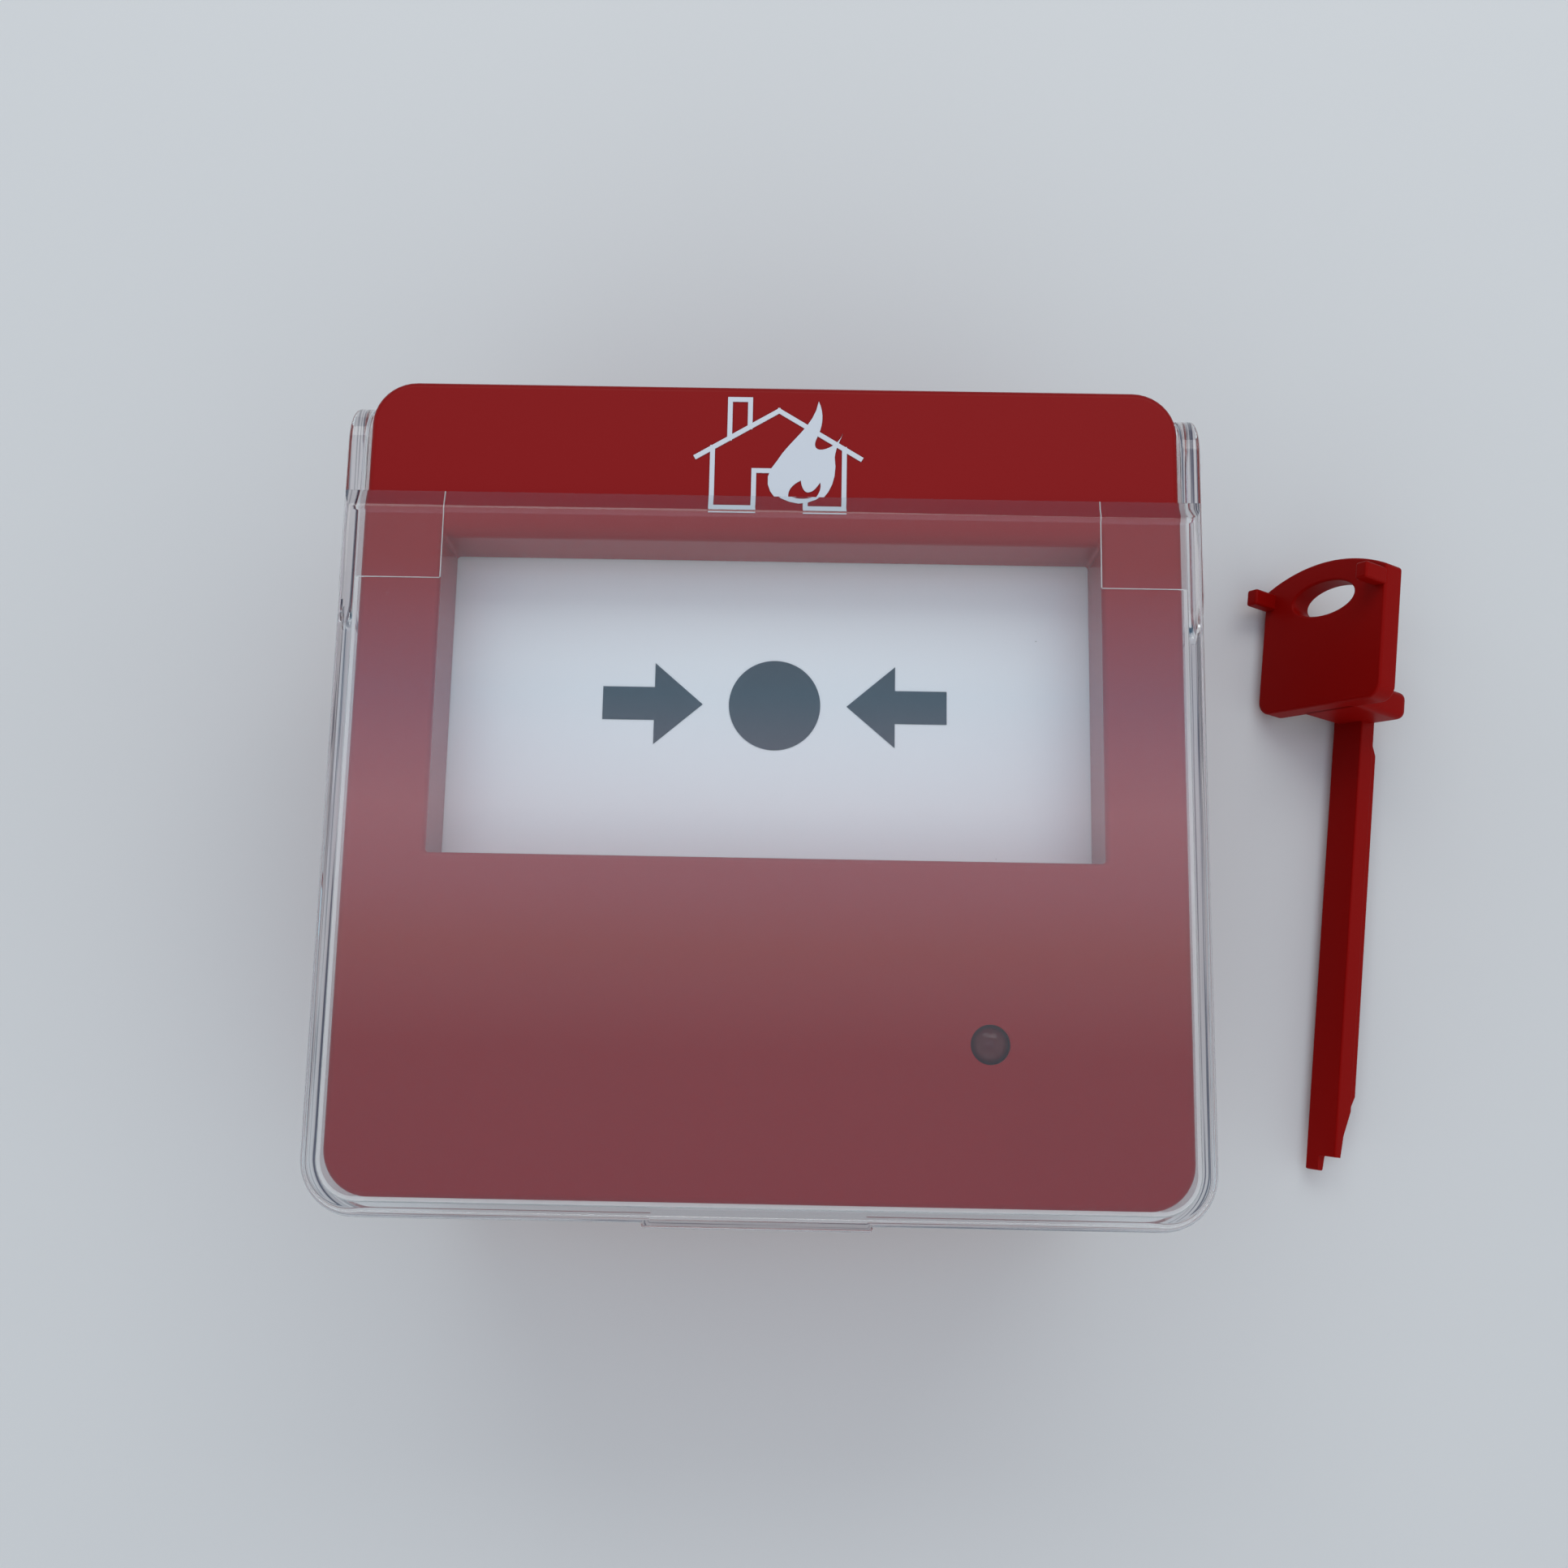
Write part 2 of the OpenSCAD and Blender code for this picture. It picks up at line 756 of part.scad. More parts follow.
module alarm_flag() {
    color("gold") {
        block([-flag_x, flag_lo, flag_z], [flag_x, flag_lo + flag_h, flag_z + flag_t]);
        both_sides()
            block([flag_x - eps, flag_lo + flag_h - ear_h, flag_z],
                  [flag_x + ear_w, flag_lo + flag_h, flag_z + flag_t]);
    }
}

// ---------------------------------------------------------------- clear cover

// Side outline of a hinge arm, rounded at both ends
module hinge_arm() {
    intersection() {
        union() {
            cyl_x(cover_in_x, cover_in_x + arm_t, hinge_y, hinge_z, hinge_r);
            cyl_x(cover_in_x, cover_in_x + arm_t, hinge_y - arm_len, hinge_z, hinge_r);
            block([cover_in_x, hinge_y - arm_len, hinge_z - hinge_r],
                  [cover_in_x + arm_t, hinge_y, hinge_z + hinge_r]);
        }
        block([0, -body_h, 0], [body_w, body_h, cover_z]);
    }
}

module cover_shell() {
    difference() {
        translate([0, 0, cover_low])
            linear_extrude(cover_depth) cover_outline(cover_x, cover_y, corner_r + 1);
        translate([0, 0, cover_low - 1])
            linear_extrude(cover_in_z - cover_low + 1) {
                cover_outline(cover_in_x, cover_in_y, corner_r - 1);
                translate([-cover_in_x, 0]) square([2 * cover_in_x, body_h]);
            }
        translate([0, cover_hi, cover_z - lip_drop])
            rotate([-atan(lip_drop / lip_l), 0, 0])
                translate([-body_w, -2 * lip_l, 0]) cube([2 * body_w, 4 * lip_l, 5]);
    }
}

// The cover ends in a straight edge at the top
module cover_outline(x, y, r) {
    intersection() {
        rounded(x, y, r);
        translate([-body_w, -body_h]) square([2 * body_w, body_h + cover_hi]);
    }
}

module flip_cover() {
    pad_x = 36.7;
    pad_y = 21.6;
    pad_t = 0.3;
    tab_t = 0.5;
    color("lightblue", 0.4) {
        cover_shell();
        both_sides() {
            hinge_arm();
            cyl_x(in_x - boss_in + 0.8 + pin_gap(), cover_in_x + 1, hinge_y, hinge_z, pin_d / 2);
            block([pad_x, pad_y, cover_in_z - pad_t], [cover_in_x + 0.5, cover_hi, cover_in_z + eps]);
        }
        block([-tab_w / 2, -cover_y - tab_t, cover_low], [tab_w / 2, -cover_in_y - 0.5, cover_z]);
    }
}

function pin_gap() = 0.4;

// ---------------------------------------------------------------- test key

bow_rise = 2.5;
shelf_w = 10.2;
shelf_t = 3.8;
blade_x = -2.8;
bow_rest = bow_w / 2 * sin(key_roll) + bow_t / 2 * cos(key_roll);
blade_off = blade_t / 2 - (bow_rest - (blade_w / 2 - blade_x) * sin(key_roll)) / cos(key_roll);
rib_t = 0.65;
rib_w = 1.4;
nose_l = 2;
nose_w = 2.2;
wedge_l = 8.2;

module bow_outline() {
    r = 2;
    arc_r = (pow(bow_w / 2, 2) + bow_rise * bow_rise) / (2 * bow_rise);
    difference() {
        union() {
            translate([0, bow_h / 2 - 1]) rounded(bow_w / 2, bow_h / 2 - 1, r);
            translate([-bow_w / 2, r]) square([bow_w, bow_h - r]);
            intersection() {
                translate([0, bow_h + bow_rise - arc_r]) circle(arc_r, $fn = 120);
                translate([-bow_w / 2, bow_h - eps]) square([bow_w, bow_rise + 1]);
            }
        }
        translate([0, 15.3]) finger_slot();
    }
}

// Oval hole for a key ring
module finger_slot() {
    slot_w = 10.6;
    slot_h = 4.8;
    scale([slot_w / slot_h, 1]) circle(d = slot_h);
}

// Blade seen from its edge, along X: flat in front, a wedge behind
module blade_side() {
    tip = -blade_l;
    half = blade_t / 2;
    polygon([[shelf_t / 2, -half], [shelf_t / 2, half], [tip, half], [tip, half - 0.9],
             [tip + wedge_l * 0.6, half - 1.5], [tip + wedge_l, -half]]);
}

module key_blade() {
    tip = -blade_l;
    rib_lo = tip + wedge_l;
    rib_hi = -2.4;
    difference() {
        translate([blade_x - blade_w / 2, 0, blade_off])
            rotate([90, 0, 90]) linear_extrude(blade_w) blade_side();
        translate([blade_x - blade_w / 2 + nose_w, tip - 1, blade_off - blade_t])
            cube([blade_w, nose_l + 1, 2 * blade_t]);
    }
    translate([blade_x + blade_w / 2 - rib_w, 0, blade_off - blade_t / 2])
        rotate([90, 0, 90])
            linear_extrude(rib_w - eps)
                polygon([[rib_lo, eps], [rib_lo + 2, -rib_t], [rib_hi - 2, -rib_t], [rib_hi, eps]]);
}

module key_solid() {
    translate([0, 0, -bow_t / 2]) linear_extrude(bow_t) bow_outline();
    block([-shelf_w / 2, 0, blade_off - blade_t / 2], [shelf_w / 2, shelf_t, 0]);
    for (s = [-1, 1])
        translate([s * prong_x, bow_h - 1.7, bow_t / 2 - eps])
            translate([-prong_w / 2, -prong_h / 2]) cube([prong_w, prong_h, prong_l]);
    key_blade();
}

// The key lies beside the right wall, on its bow's edge and its blade's edge, level with the back face
module test_key() {
    color("firebrick")
        translate([body_w / 2 + 28.8, 17.9, bow_rest])
            rotate([0, 0, -key_lean]) rotate([0, -key_roll, 0]) key_solid();
}

back_box();
box_seal();
front_housing();
house_flame_mark();
chassis();
circuit_board();
board_chips();
address_switch();
address_levers();
terminal_blocks();
terminal_screws();
board_screws();
chassis_screws();
status_led();
indicator_lens();
switch_body();
switch_lever();
operating_plate();
plate_marks();
plate_carrier();
plate_springs();
detent_springs();
alarm_flag();
cable_grommet();
entry_plugs();
flip_cover();
test_key();
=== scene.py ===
import math

import bmesh
import bpy
from mathutils import Matrix, Vector


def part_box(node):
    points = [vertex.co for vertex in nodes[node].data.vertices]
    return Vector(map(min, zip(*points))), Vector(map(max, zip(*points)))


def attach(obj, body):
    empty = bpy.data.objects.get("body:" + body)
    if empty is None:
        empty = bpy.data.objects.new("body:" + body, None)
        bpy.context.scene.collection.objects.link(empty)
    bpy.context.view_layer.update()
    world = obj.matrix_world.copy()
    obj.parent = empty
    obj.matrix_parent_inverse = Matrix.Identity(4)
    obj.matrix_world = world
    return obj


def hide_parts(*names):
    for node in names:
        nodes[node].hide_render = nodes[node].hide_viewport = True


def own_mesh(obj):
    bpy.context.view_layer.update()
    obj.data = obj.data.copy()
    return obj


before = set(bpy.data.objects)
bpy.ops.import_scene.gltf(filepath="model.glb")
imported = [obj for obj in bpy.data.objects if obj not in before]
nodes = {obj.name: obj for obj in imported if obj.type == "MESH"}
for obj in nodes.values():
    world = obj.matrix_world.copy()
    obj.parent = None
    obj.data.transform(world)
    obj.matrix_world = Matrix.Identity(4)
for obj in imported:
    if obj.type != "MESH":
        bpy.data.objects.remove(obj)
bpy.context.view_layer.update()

# ------------------------------------------------------------------------- back box
# The box that is screwed to the wall: injection moulded in red ABS, with a floor, a low
# wall, a tongue that the front snaps over and two pillars for the chassis screws.
# Meshes are drawn in millimetres and brought to metres when a piece is finished.

MM = 0.001
PROUD = 0.01


def box_mm(name):
    """Lowest and highest corner of a CAD node, in millimetres."""
    low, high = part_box(name)
    return Vector(low) / MM, Vector(high) / MM


def paint(red, green, blue):
    """A colour from its usual screen numbers, 0 to 255."""
    parts = [c / 255 for c in (red, green, blue)]
    return tuple(c / 12.92 if c < 0.04045 else ((c + 0.055) / 1.055) ** 2.4 for c in parts) + (1,)


def add_node(tree, kind, values=None, **settings):
    node = tree.nodes.new(kind)
    for key, value in settings.items():
        setattr(node, key, value)
    for key, value in (values or {}).items():
        node.inputs[key].default_value = value
    return node


def feed(tree, socket, value):
    """Links a socket to another node's output, or gives it a fixed value."""
    if isinstance(value, bpy.types.NodeSocket):
        tree.links.new(value, socket)
    else:
        socket.default_value = value


def add_texture(tree, kind, vector, values=None, **settings):
    """A texture or mapping node that reads a vector."""
    node = add_node(tree, kind, values, **settings)
    tree.links.new(vector, node.inputs["Vector"])
    return node


def calc(tree, operation, first, second, clamp=False):
    """The result of one sum on two numbers or sockets."""
    node = add_node(tree, "ShaderNodeMath", operation=operation, use_clamp=clamp)
    feed(tree, node.inputs[0], first)
    feed(tree, node.inputs[1], second)
    return node.outputs[0]


def map_range(tree, value, low, high, to=(0.0, 1.0), **settings):
    """A value brought from the range low to high to another range."""
    node = add_node(tree, "ShaderNodeMapRange", {"From Min": low, "From Max": high,
                                                 "To Min": to[0], "To Max": to[1]}, **settings)
    tree.links.new(value, node.inputs["Value"])
    return node.outputs["Result"]


def mix_colours(tree, share, first, second):
    """A mix of two colours; share is how much of the second is in it."""
    node = add_node(tree, "ShaderNodeMix", data_type="RGBA")
    for place, value in ((0, share), (6, first), (7, second)):
        feed(tree, node.inputs[place], value)
    return node.outputs[2]


def start_group(name, takes, gives):
    """A node group with named sockets, with its own input and output nodes."""
    group = bpy.data.node_groups.new(name, "ShaderNodeTree")
    for label, kind, value in takes:
        socket = group.interface.new_socket(label, in_out="INPUT", socket_type=kind)
        if value is not None:
            socket.default_value = value
    for label, kind in gives:
        group.interface.new_socket(label, in_out="OUTPUT", socket_type=kind)
    return group, group.nodes.new("NodeGroupInput"), group.nodes.new("NodeGroupOutput")


def make_moulded_skin():
    """Spark-eroded grain, slow colour drift and uneven gloss, as a moulding tool leaves them."""
    group, given, out = start_group(
        "moulded skin",
        [("Vector", "NodeSocketVector", None), ("Colour", "NodeSocketColor", (0.5, 0.5, 0.5, 1)),
         ("Grain Scale", "NodeSocketFloat", 3500.0), ("Drift", "NodeSocketFloat", 0.06),
         ("Roughness", "NodeSocketFloat", 0.4), ("Gloss Spread", "NodeSocketFloat", 0.1)],
        [("Colour", "NodeSocketColor"), ("Roughness", "NodeSocketFloat"),
         ("Height", "NodeSocketFloat")])
    link = group.links.new
    vector = given.outputs["Vector"]
    grain = add_texture(group, "ShaderNodeTexNoise", vector, {"Detail": 3.0, "Roughness": 0.55})
    cells = add_texture(group, "ShaderNodeTexVoronoi", vector, feature="SMOOTH_F1")
    flow = add_texture(group, "ShaderNodeTexNoise", vector,
                       {"Scale": 28.0, "Detail": 4.0, "Distortion": 0.6})
    for texture in (grain, cells):
        link(given.outputs["Grain Scale"], texture.inputs["Scale"])
    link(calc(group, "ADD", grain.outputs["Fac"], cells.outputs["Distance"]), out.inputs["Height"])
    # The colour drifts a little along the flow of the melt, and less from grain to grain.
    along = calc(group, "SUBTRACT", flow.outputs["Fac"], 0.5)
    fine = calc(group, "SUBTRACT", grain.outputs["Fac"], 0.5)
    both = calc(group, "ADD", along, calc(group, "MULTIPLY", fine, 0.5))
    shift = calc(group, "MULTIPLY", both, given.outputs["Drift"])
    tinted = add_node(group, "ShaderNodeHueSaturation")
    link(given.outputs["Colour"], tinted.inputs["Color"])
    link(calc(group, "ADD", shift, 1.0), tinted.inputs["Value"])
    link(tinted.outputs["Color"], out.inputs["Colour"])
    spread = calc(group, "MULTIPLY", both, given.outputs["Gloss Spread"])
    link(calc(group, "ADD", spread, given.outputs["Roughness"], clamp=True),
         out.inputs["Roughness"])
    return group


def make_dust():
    """Sparse pale specks of dust, at a few sizes."""
    group, given, out = start_group(
        "dust specks",
        [("Vector", "NodeSocketVector", None), ("Spacing Scale", "NodeSocketFloat", 420.0),
         ("Share", "NodeSocketFloat", 0.2), ("Size", "NodeSocketFloat", 0.055)],
        [("Mask", "NodeSocketFloat")])
    link = group.links.new
    cells = add_texture(group, "ShaderNodeTexVoronoi", given.outputs["Vector"], feature="F1")
    link(given.outputs["Spacing Scale"], cells.inputs["Scale"])
    pick = add_node(group, "ShaderNodeSeparateColor")
    link(cells.outputs["Color"], pick.inputs["Color"])
    chosen = calc(group, "LESS_THAN", pick.outputs["Red"], given.outputs["Share"])
    size = calc(group, "MULTIPLY", pick.outputs["Green"], given.outputs["Size"])
    near = calc(group, "LESS_THAN", cells.outputs["Distance"], size)
    link(calc(group, "MULTIPLY", chosen, near), out.inputs["Mask"])
    return group


moulded_skin = make_moulded_skin()
dust_specks = make_dust()


def place_group(tree, group, vector, **values):
    """Puts a node group in a material, fed with the piece's own coordinates."""
    node = add_node(tree, "ShaderNodeGroup", node_tree=group)
    tree.links.new(vector, node.inputs["Vector"])
    for key, value in values.items():
        node.inputs[key.replace("_", " ").title()].default_value = value
    return node


def start_finish(name):
    """A new material: its tree, its Principled shader and the Object coordinates."""
    finish = bpy.data.materials.new(name)
    finish.use_nodes = True
    tree = finish.node_tree
    shader = tree.nodes["Principled BSDF"]
    coords = add_node(tree, "ShaderNodeTexCoord")
    return finish, tree, shader, coords.outputs["Object"]


def add_skin(tree, shader, place, **values):
    """Moulded skin that gives a shader its colour and roughness."""
    skin = place_group(tree, moulded_skin, place, **values)
    tree.links.new(skin.outputs["Colour"], shader.inputs["Base Color"])
    tree.links.new(skin.outputs["Roughness"], shader.inputs["Roughness"])
    return skin


def add_relief(tree, shader, height, strength, distance):
    relief = add_node(tree, "ShaderNodeBump", {"Strength": strength, "Distance": distance})
    tree.links.new(height, relief.inputs["Height"])
    tree.links.new(relief.outputs["Normal"], shader.inputs["Normal"])


def moulded_plastic(name, colour, grain=3500.0, drift=0.06, rough=0.4, spread=0.1,
                    relief=0.1, dust=0.0, gloss=0.5, dust_colour=(0.55, 0.53, 0.5, 1)):
    """Finish of one moulded plastic: grain, flow marks, uneven gloss and a little dust."""
    finish, tree, shader, place = start_finish(name)
    skin = add_skin(tree, shader, place, colour=colour, grain_scale=grain, drift=drift,
                    roughness=rough, gloss_spread=spread)
    specks = place_group(tree, dust_specks, place, share=dust)
    dusty = mix_colours(tree, specks.outputs["Mask"], skin.outputs["Colour"], dust_colour)
    tree.links.new(dusty, shader.inputs["Base Color"])
    shader.inputs["Specular IOR Level"].default_value = gloss
    add_relief(tree, shader, skin.outputs["Height"], relief, 0.00004)
    return finish


def edges_of(made, kept):
    """The edges in an operator's result whose two ends are both in kept."""
    return [e for e in made
            if isinstance(e, bmesh.types.BMEdge) and all(v in kept for v in e.verts)]


def start_outline(bm, shape, steps=10):
    """A closed loop of edges: shape is (half width, low y, high y, corner radius, level)."""
    half, low, high, radius, level = shape
    corners = [bm.verts.new((x, y, level)) for x, y in
               ((-half, low), (half, low), (half, high), (-half, high))]
    bm.faces.new(corners)
    bmesh.ops.bevel(bm, geom=corners, offset=radius, segments=steps, profile=0.5,
                    affect="VERTICES", material=-1)
    bmesh.ops.delete(bm, geom=list(bm.faces), context="FACES_ONLY")
    return list(bm.edges)


def next_outline(bm, loop, old, new):
    """Extrudes a loop of edges and fits the new loop to the next outline."""
    made = bmesh.ops.extrude_edge_only(bm, edges=loop)["geom"]
    verts = {v for v in made if isinstance(v, bmesh.types.BMVert)}
    middle = (old[1] + old[2]) / 2
    for v in verts:
        east = 1 if v.co.x > 0 else -1
        north = v.co.y > middle
        old_y = old[2] - old[3] if north else old[1] + old[3]
        new_y = new[2] - new[3] if north else new[1] + new[3]
        turn_x = (v.co.x - east * (old[0] - old[3])) / old[3]
        turn_y = (v.co.y - old_y) / old[3]
        v.co = (east * (new[0] - new[3]) + turn_x * new[3], new_y + turn_y * new[3], new[4])
    return edges_of(made, verts)


def shell_of(outlines, closed=True, steps=10):
    """A ring-shaped solid swept through a list of outlines, the last joined to the first."""
    bm = bmesh.new()
    loop = start_outline(bm, outlines[0], steps)
    turns = outlines + [outlines[0]] if closed else outlines
    for old, new in zip(turns, turns[1:]):
        loop = next_outline(bm, loop, old, new)
    bmesh.ops.remove_doubles(bm, verts=list(bm.verts), dist=1e-4)
    if not closed:
        bmesh.ops.holes_fill(bm, edges=[e for e in bm.edges if e.is_boundary])
    bmesh.ops.recalc_face_normals(bm, faces=list(bm.faces))
    return bm


def add_block(bm, low, high, edge=0.0, steps=2):
    """A block between two corners, its edges rounded."""
    low, high = Vector(low), Vector(high)
    size = high - low
    made = bmesh.ops.create_cube(bm, size=1.0, matrix=Matrix.Translation((low + high) / 2)
                                 @ Matrix.Diagonal((*size, 1)))["verts"]
    if edge:
        rims = list({e for v in made for e in v.link_edges})
        made = bmesh.ops.bevel(bm, geom=rims, offset=edge, segments=steps, profile=0.5,
                               affect="EDGES", material=-1)["verts"]
    return made


TURN_TO = {"x": Matrix.Rotation(math.pi / 2, 4, "Y"), "y": Matrix.Rotation(-math.pi / 2, 4, "X"),
           "z": Matrix.Identity(4)}


def add_rod(bm, start, along, length, radius, sides=48):
    """A round bar from start along the x, y or z direction."""
    turn = TURN_TO[along]
    middle = Vector(start) + turn @ Vector((0, 0, length / 2))
    bmesh.ops.create_cone(bm, cap_ends=True, segments=sides, radius1=radius, radius2=radius,
                          depth=length, matrix=Matrix.Translation(middle) @ turn)


def lathe(bm, profile, place, steps=48, closed=False):
    """Turns a profile of (radius, height) points round the z axis, then puts it in place."""
    before = set(bm.verts)
    verts = [bm.verts.new((radius, 0, height)) for radius, height in profile]
    edges = [bm.edges.new(pair) for pair in
             zip(verts, verts[1:] + verts[:1] if closed else verts[1:])]
    bmesh.ops.spin(bm, geom=verts + edges, cent=(0, 0, 0), axis=(0, 0, 1), angle=2 * math.pi,
                   steps=steps, use_merge=True)
    made = [v for v in bm.verts if v not in before]
    bmesh.ops.remove_doubles(bm, verts=made, dist=1e-4)
    made = [v for v in bm.verts if v not in before]
    bmesh.ops.recalc_face_normals(bm, faces=list({f for v in made for f in v.link_faces}))
    bmesh.ops.transform(bm, matrix=place, verts=made)


def mesh_of(name, bm):
    """Writes a drawn shape to a new mesh, and lets the drawing go."""
    mesh = bpy.data.meshes.new(name)
    bm.to_mesh(mesh)
    bm.free()
    return mesh


def put_in_scene(name, data):
    """A new object in the scene that shows this mesh, lamp or camera."""
    made = bpy.data.objects.new(name, data)
    bpy.context.scene.collection.objects.link(made)
    return made


def combine(bm, other, change="DIFFERENCE"):
    """Cuts the shape in other out of bm, or joins it on, and returns the result."""
    part, tool = [put_in_scene(name, mesh_of(name, shape))
                  for name, shape in (("work", bm), ("tool", other))]
    step = part.modifiers.new("combine", "BOOLEAN")
    step.object, step.operation, step.solver = tool, change, "EXACT"
    left = bmesh.new()
    left.from_mesh(part.evaluated_get(bpy.context.evaluated_depsgraph_get()).data)
    for each in (part, tool):
        mesh = each.data
        bpy.data.objects.remove(each)
        bpy.data.meshes.remove(mesh)
    return left


CREASE = math.radians(32)


def finish_piece(name, bm, body, finish, stands_for):
    """Turns a drawn shape into a piece: metres, shading, finish, body and the nodes it replaces."""
    bmesh.ops.scale(bm, vec=(MM, MM, MM), verts=list(bm.verts))
    mesh = mesh_of(name, bm)
    mesh.shade_smooth()
    mesh.set_sharp_from_angle(angle=CREASE)
    mesh.materials.append(finish)
    piece = put_in_scene(name, mesh)
    shading = piece.modifiers.new("flat faces stay flat", "WEIGHTED_NORMAL")
    shading.keep_sharp = True
    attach(piece, body)
    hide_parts(*stands_for)
    return piece


box_low, box_high = box_mm("back_box")
box_half, box_bottom, box_top = box_high.x, box_low.y, box_high.y
shoulder = box_mm("box_seal")[0].z
floor_thick = 2.5
wall = 2.2
tongue_inset = 1.8
tongue_wall = 2.0
box_radius = 4.0
screw_pitch = 60.0
screw_hole = 4.5
cable_hole = 20.0
entry_hole = 16.0
entry_pitch = 36.0
rib_x, rib_w = 41.6, 1.4
pillar_x, pillar_y = 37.4, -22.0
pillar_r, pilot_r, pilot_end = 3.4, 1.45, 4.5
pillar_top = box_mm("chassis")[0].z + 3.4
cable_y = (box_mm("cable_grommet")[0].y + box_mm("cable_grommet")[1].y) / 2


def box_outline(inset, level):
    """Outline of the back box, set in from its outer wall."""
    return (box_half - inset, box_bottom + inset, box_top - inset,
            max(box_radius - inset, 0.6), level)


def make_back_box():
    """Floor, walls and tongue in one shell, drilled, then pillars and ribs set in."""
    tongue_top = shoulder + 4.5
    inner = tongue_inset + tongue_wall
    bm = shell_of([
        box_outline(wall + 0.9, floor_thick), box_outline(wall + 0.25, floor_thick + 0.25),
        box_outline(wall, floor_thick + 0.9), box_outline(wall, shoulder - 4.4),
        box_outline(inner, shoulder - 2.5), box_outline(inner, tongue_top),
        box_outline(tongue_inset + 0.6, tongue_top), box_outline(tongue_inset, tongue_top - 0.8),
        box_outline(tongue_inset, shoulder), box_outline(0.4, shoulder),
        box_outline(0.12, shoulder - 0.1), box_outline(0.0, shoulder - 0.4),
        box_outline(0.0, 0.6), box_outline(0.15, 0.18), box_outline(0.6, 0.0)], closed=False)
    knife = bmesh.new()
    for side in (-1, 1):
        add_rod(knife, (side * screw_pitch / 2, 0, -1), "z", floor_thick + 2, screw_hole / 2)
        add_rod(knife, (side * entry_pitch / 2, box_top - wall - 1, shoulder / 2), "y",
                wall + 2, entry_hole / 2, sides=64)
    add_rod(knife, (0, cable_y, -1), "z", floor_thick + 2, cable_hole / 2, sides=64)
    bm = combine(bm, knife)
    for side in (-1, 1):
        lathe(bm, [(pilot_r, pilot_end), (pilot_r, pillar_top), (pillar_r - 0.3, pillar_top),
                   (pillar_r, pillar_top - 0.3), (pillar_r, floor_thick + 0.8),
                   (pillar_r + 0.8, floor_thick - 0.2), (0, floor_thick - 0.2), (0, pilot_end)],
              Matrix.Translation((side * pillar_x, pillar_y, 0)), closed=True)
        for low_y in (-30.0, 14.0):
            add_block(bm, (side * rib_x - rib_w, low_y, floor_thick - 0.5),
                      (side * rib_x + rib_w, low_y + rib_w, shoulder - 5), 0.3)
    for x in (-26, -8.7, 8.7, 26):
        add_block(bm, (x - rib_w / 2, box_bottom + wall - 0.3, floor_thick - 0.5),
                  (x + rib_w / 2, box_bottom + wall + rib_w, shoulder - 5), 0.3)
    return bm


box_red = paint(134, 24, 25)
box_plastic = moulded_plastic("back box plastic", box_red, grain=2600, drift=0.1, rough=0.46,
                              spread=0.16, relief=0.16, dust=0.1, gloss=0.3)
finish_piece("back_box_shell", make_back_box(), "housing", box_plastic, ["back_box"])


# ---------------------------------------------------------------------------- seal
# A flat gasket cut from black rubber sheet. It lies loose on the box's shoulder, and is
# squeezed there by the front when that snaps on.

def give_finish(name, finish):
    """Puts a finish on a CAD node that keeps its own shape."""
    for slot in nodes[name].material_slots:
        slot.material = finish


def rubber(name, colour, rough):
    """Rubber from a mould: a dull, patchy skin that holds dust."""
    return moulded_plastic(name, colour, grain=5200, drift=0.2, rough=rough, spread=0.2,
                           relief=0.3, dust=0.3, gloss=0.3)


give_finish("box_seal", rubber("seal rubber", paint(46, 46, 48), 0.75))

# ------------------------------------------------------------------- cable grommet
# A soft rubber grommet in the cable hole, with a thin membrane that the cable is pushed
# through. Its groove grips the edge of the hole.

grommet_low, grommet_high = box_mm("cable_grommet")
grommet_r = (grommet_high.x - grommet_low.x) / 2


def make_grommet():
    """A ring with a flange on each side of the floor, and a stepped membrane with a pilot hole."""
    bm = bmesh.new()
    top = grommet_high.z
    hole = cable_hole / 2 - 0.05
    lathe(bm, [(1.5, 2.3), (1.5, 3.3), (4.2, 3.25), (4.6, 2.9), (5.0, 3.25), (7.9, 3.3),
               (8.1, top - 0.3), (8.4, top), (grommet_r - 0.5, top), (grommet_r, top - 0.5),
               (grommet_r, 2.8), (grommet_r - 0.3, 2.5), (hole, 2.5), (hole, 0.55),
               (hole - 0.3, 0.3), (8.3, 0.3), (8.0, 0.6), (7.9, 2.3), (5.0, 2.35), (4.6, 2.0),
               (4.2, 2.3)],
          Matrix.Translation((0, cable_y, 0)), steps=72, closed=True)
    return bm


finish_piece("grommet_ring", make_grommet(), "housing",
             rubber("grommet rubber", paint(40, 40, 42), 0.62), ["cable_grommet"])

# --------------------------------------------------------------------- entry plugs
# Two red blanking plugs that close the conduit holes in the top of the box. Each has a
# shallow dished head with a coin slot, and a stub that is a push fit in the wall.

plug_top = box_mm("entry_plugs")[1].y
plug_r, stub_r = 9.0, 7.95
coin_slot = (4.6, 0.75, 0.7)


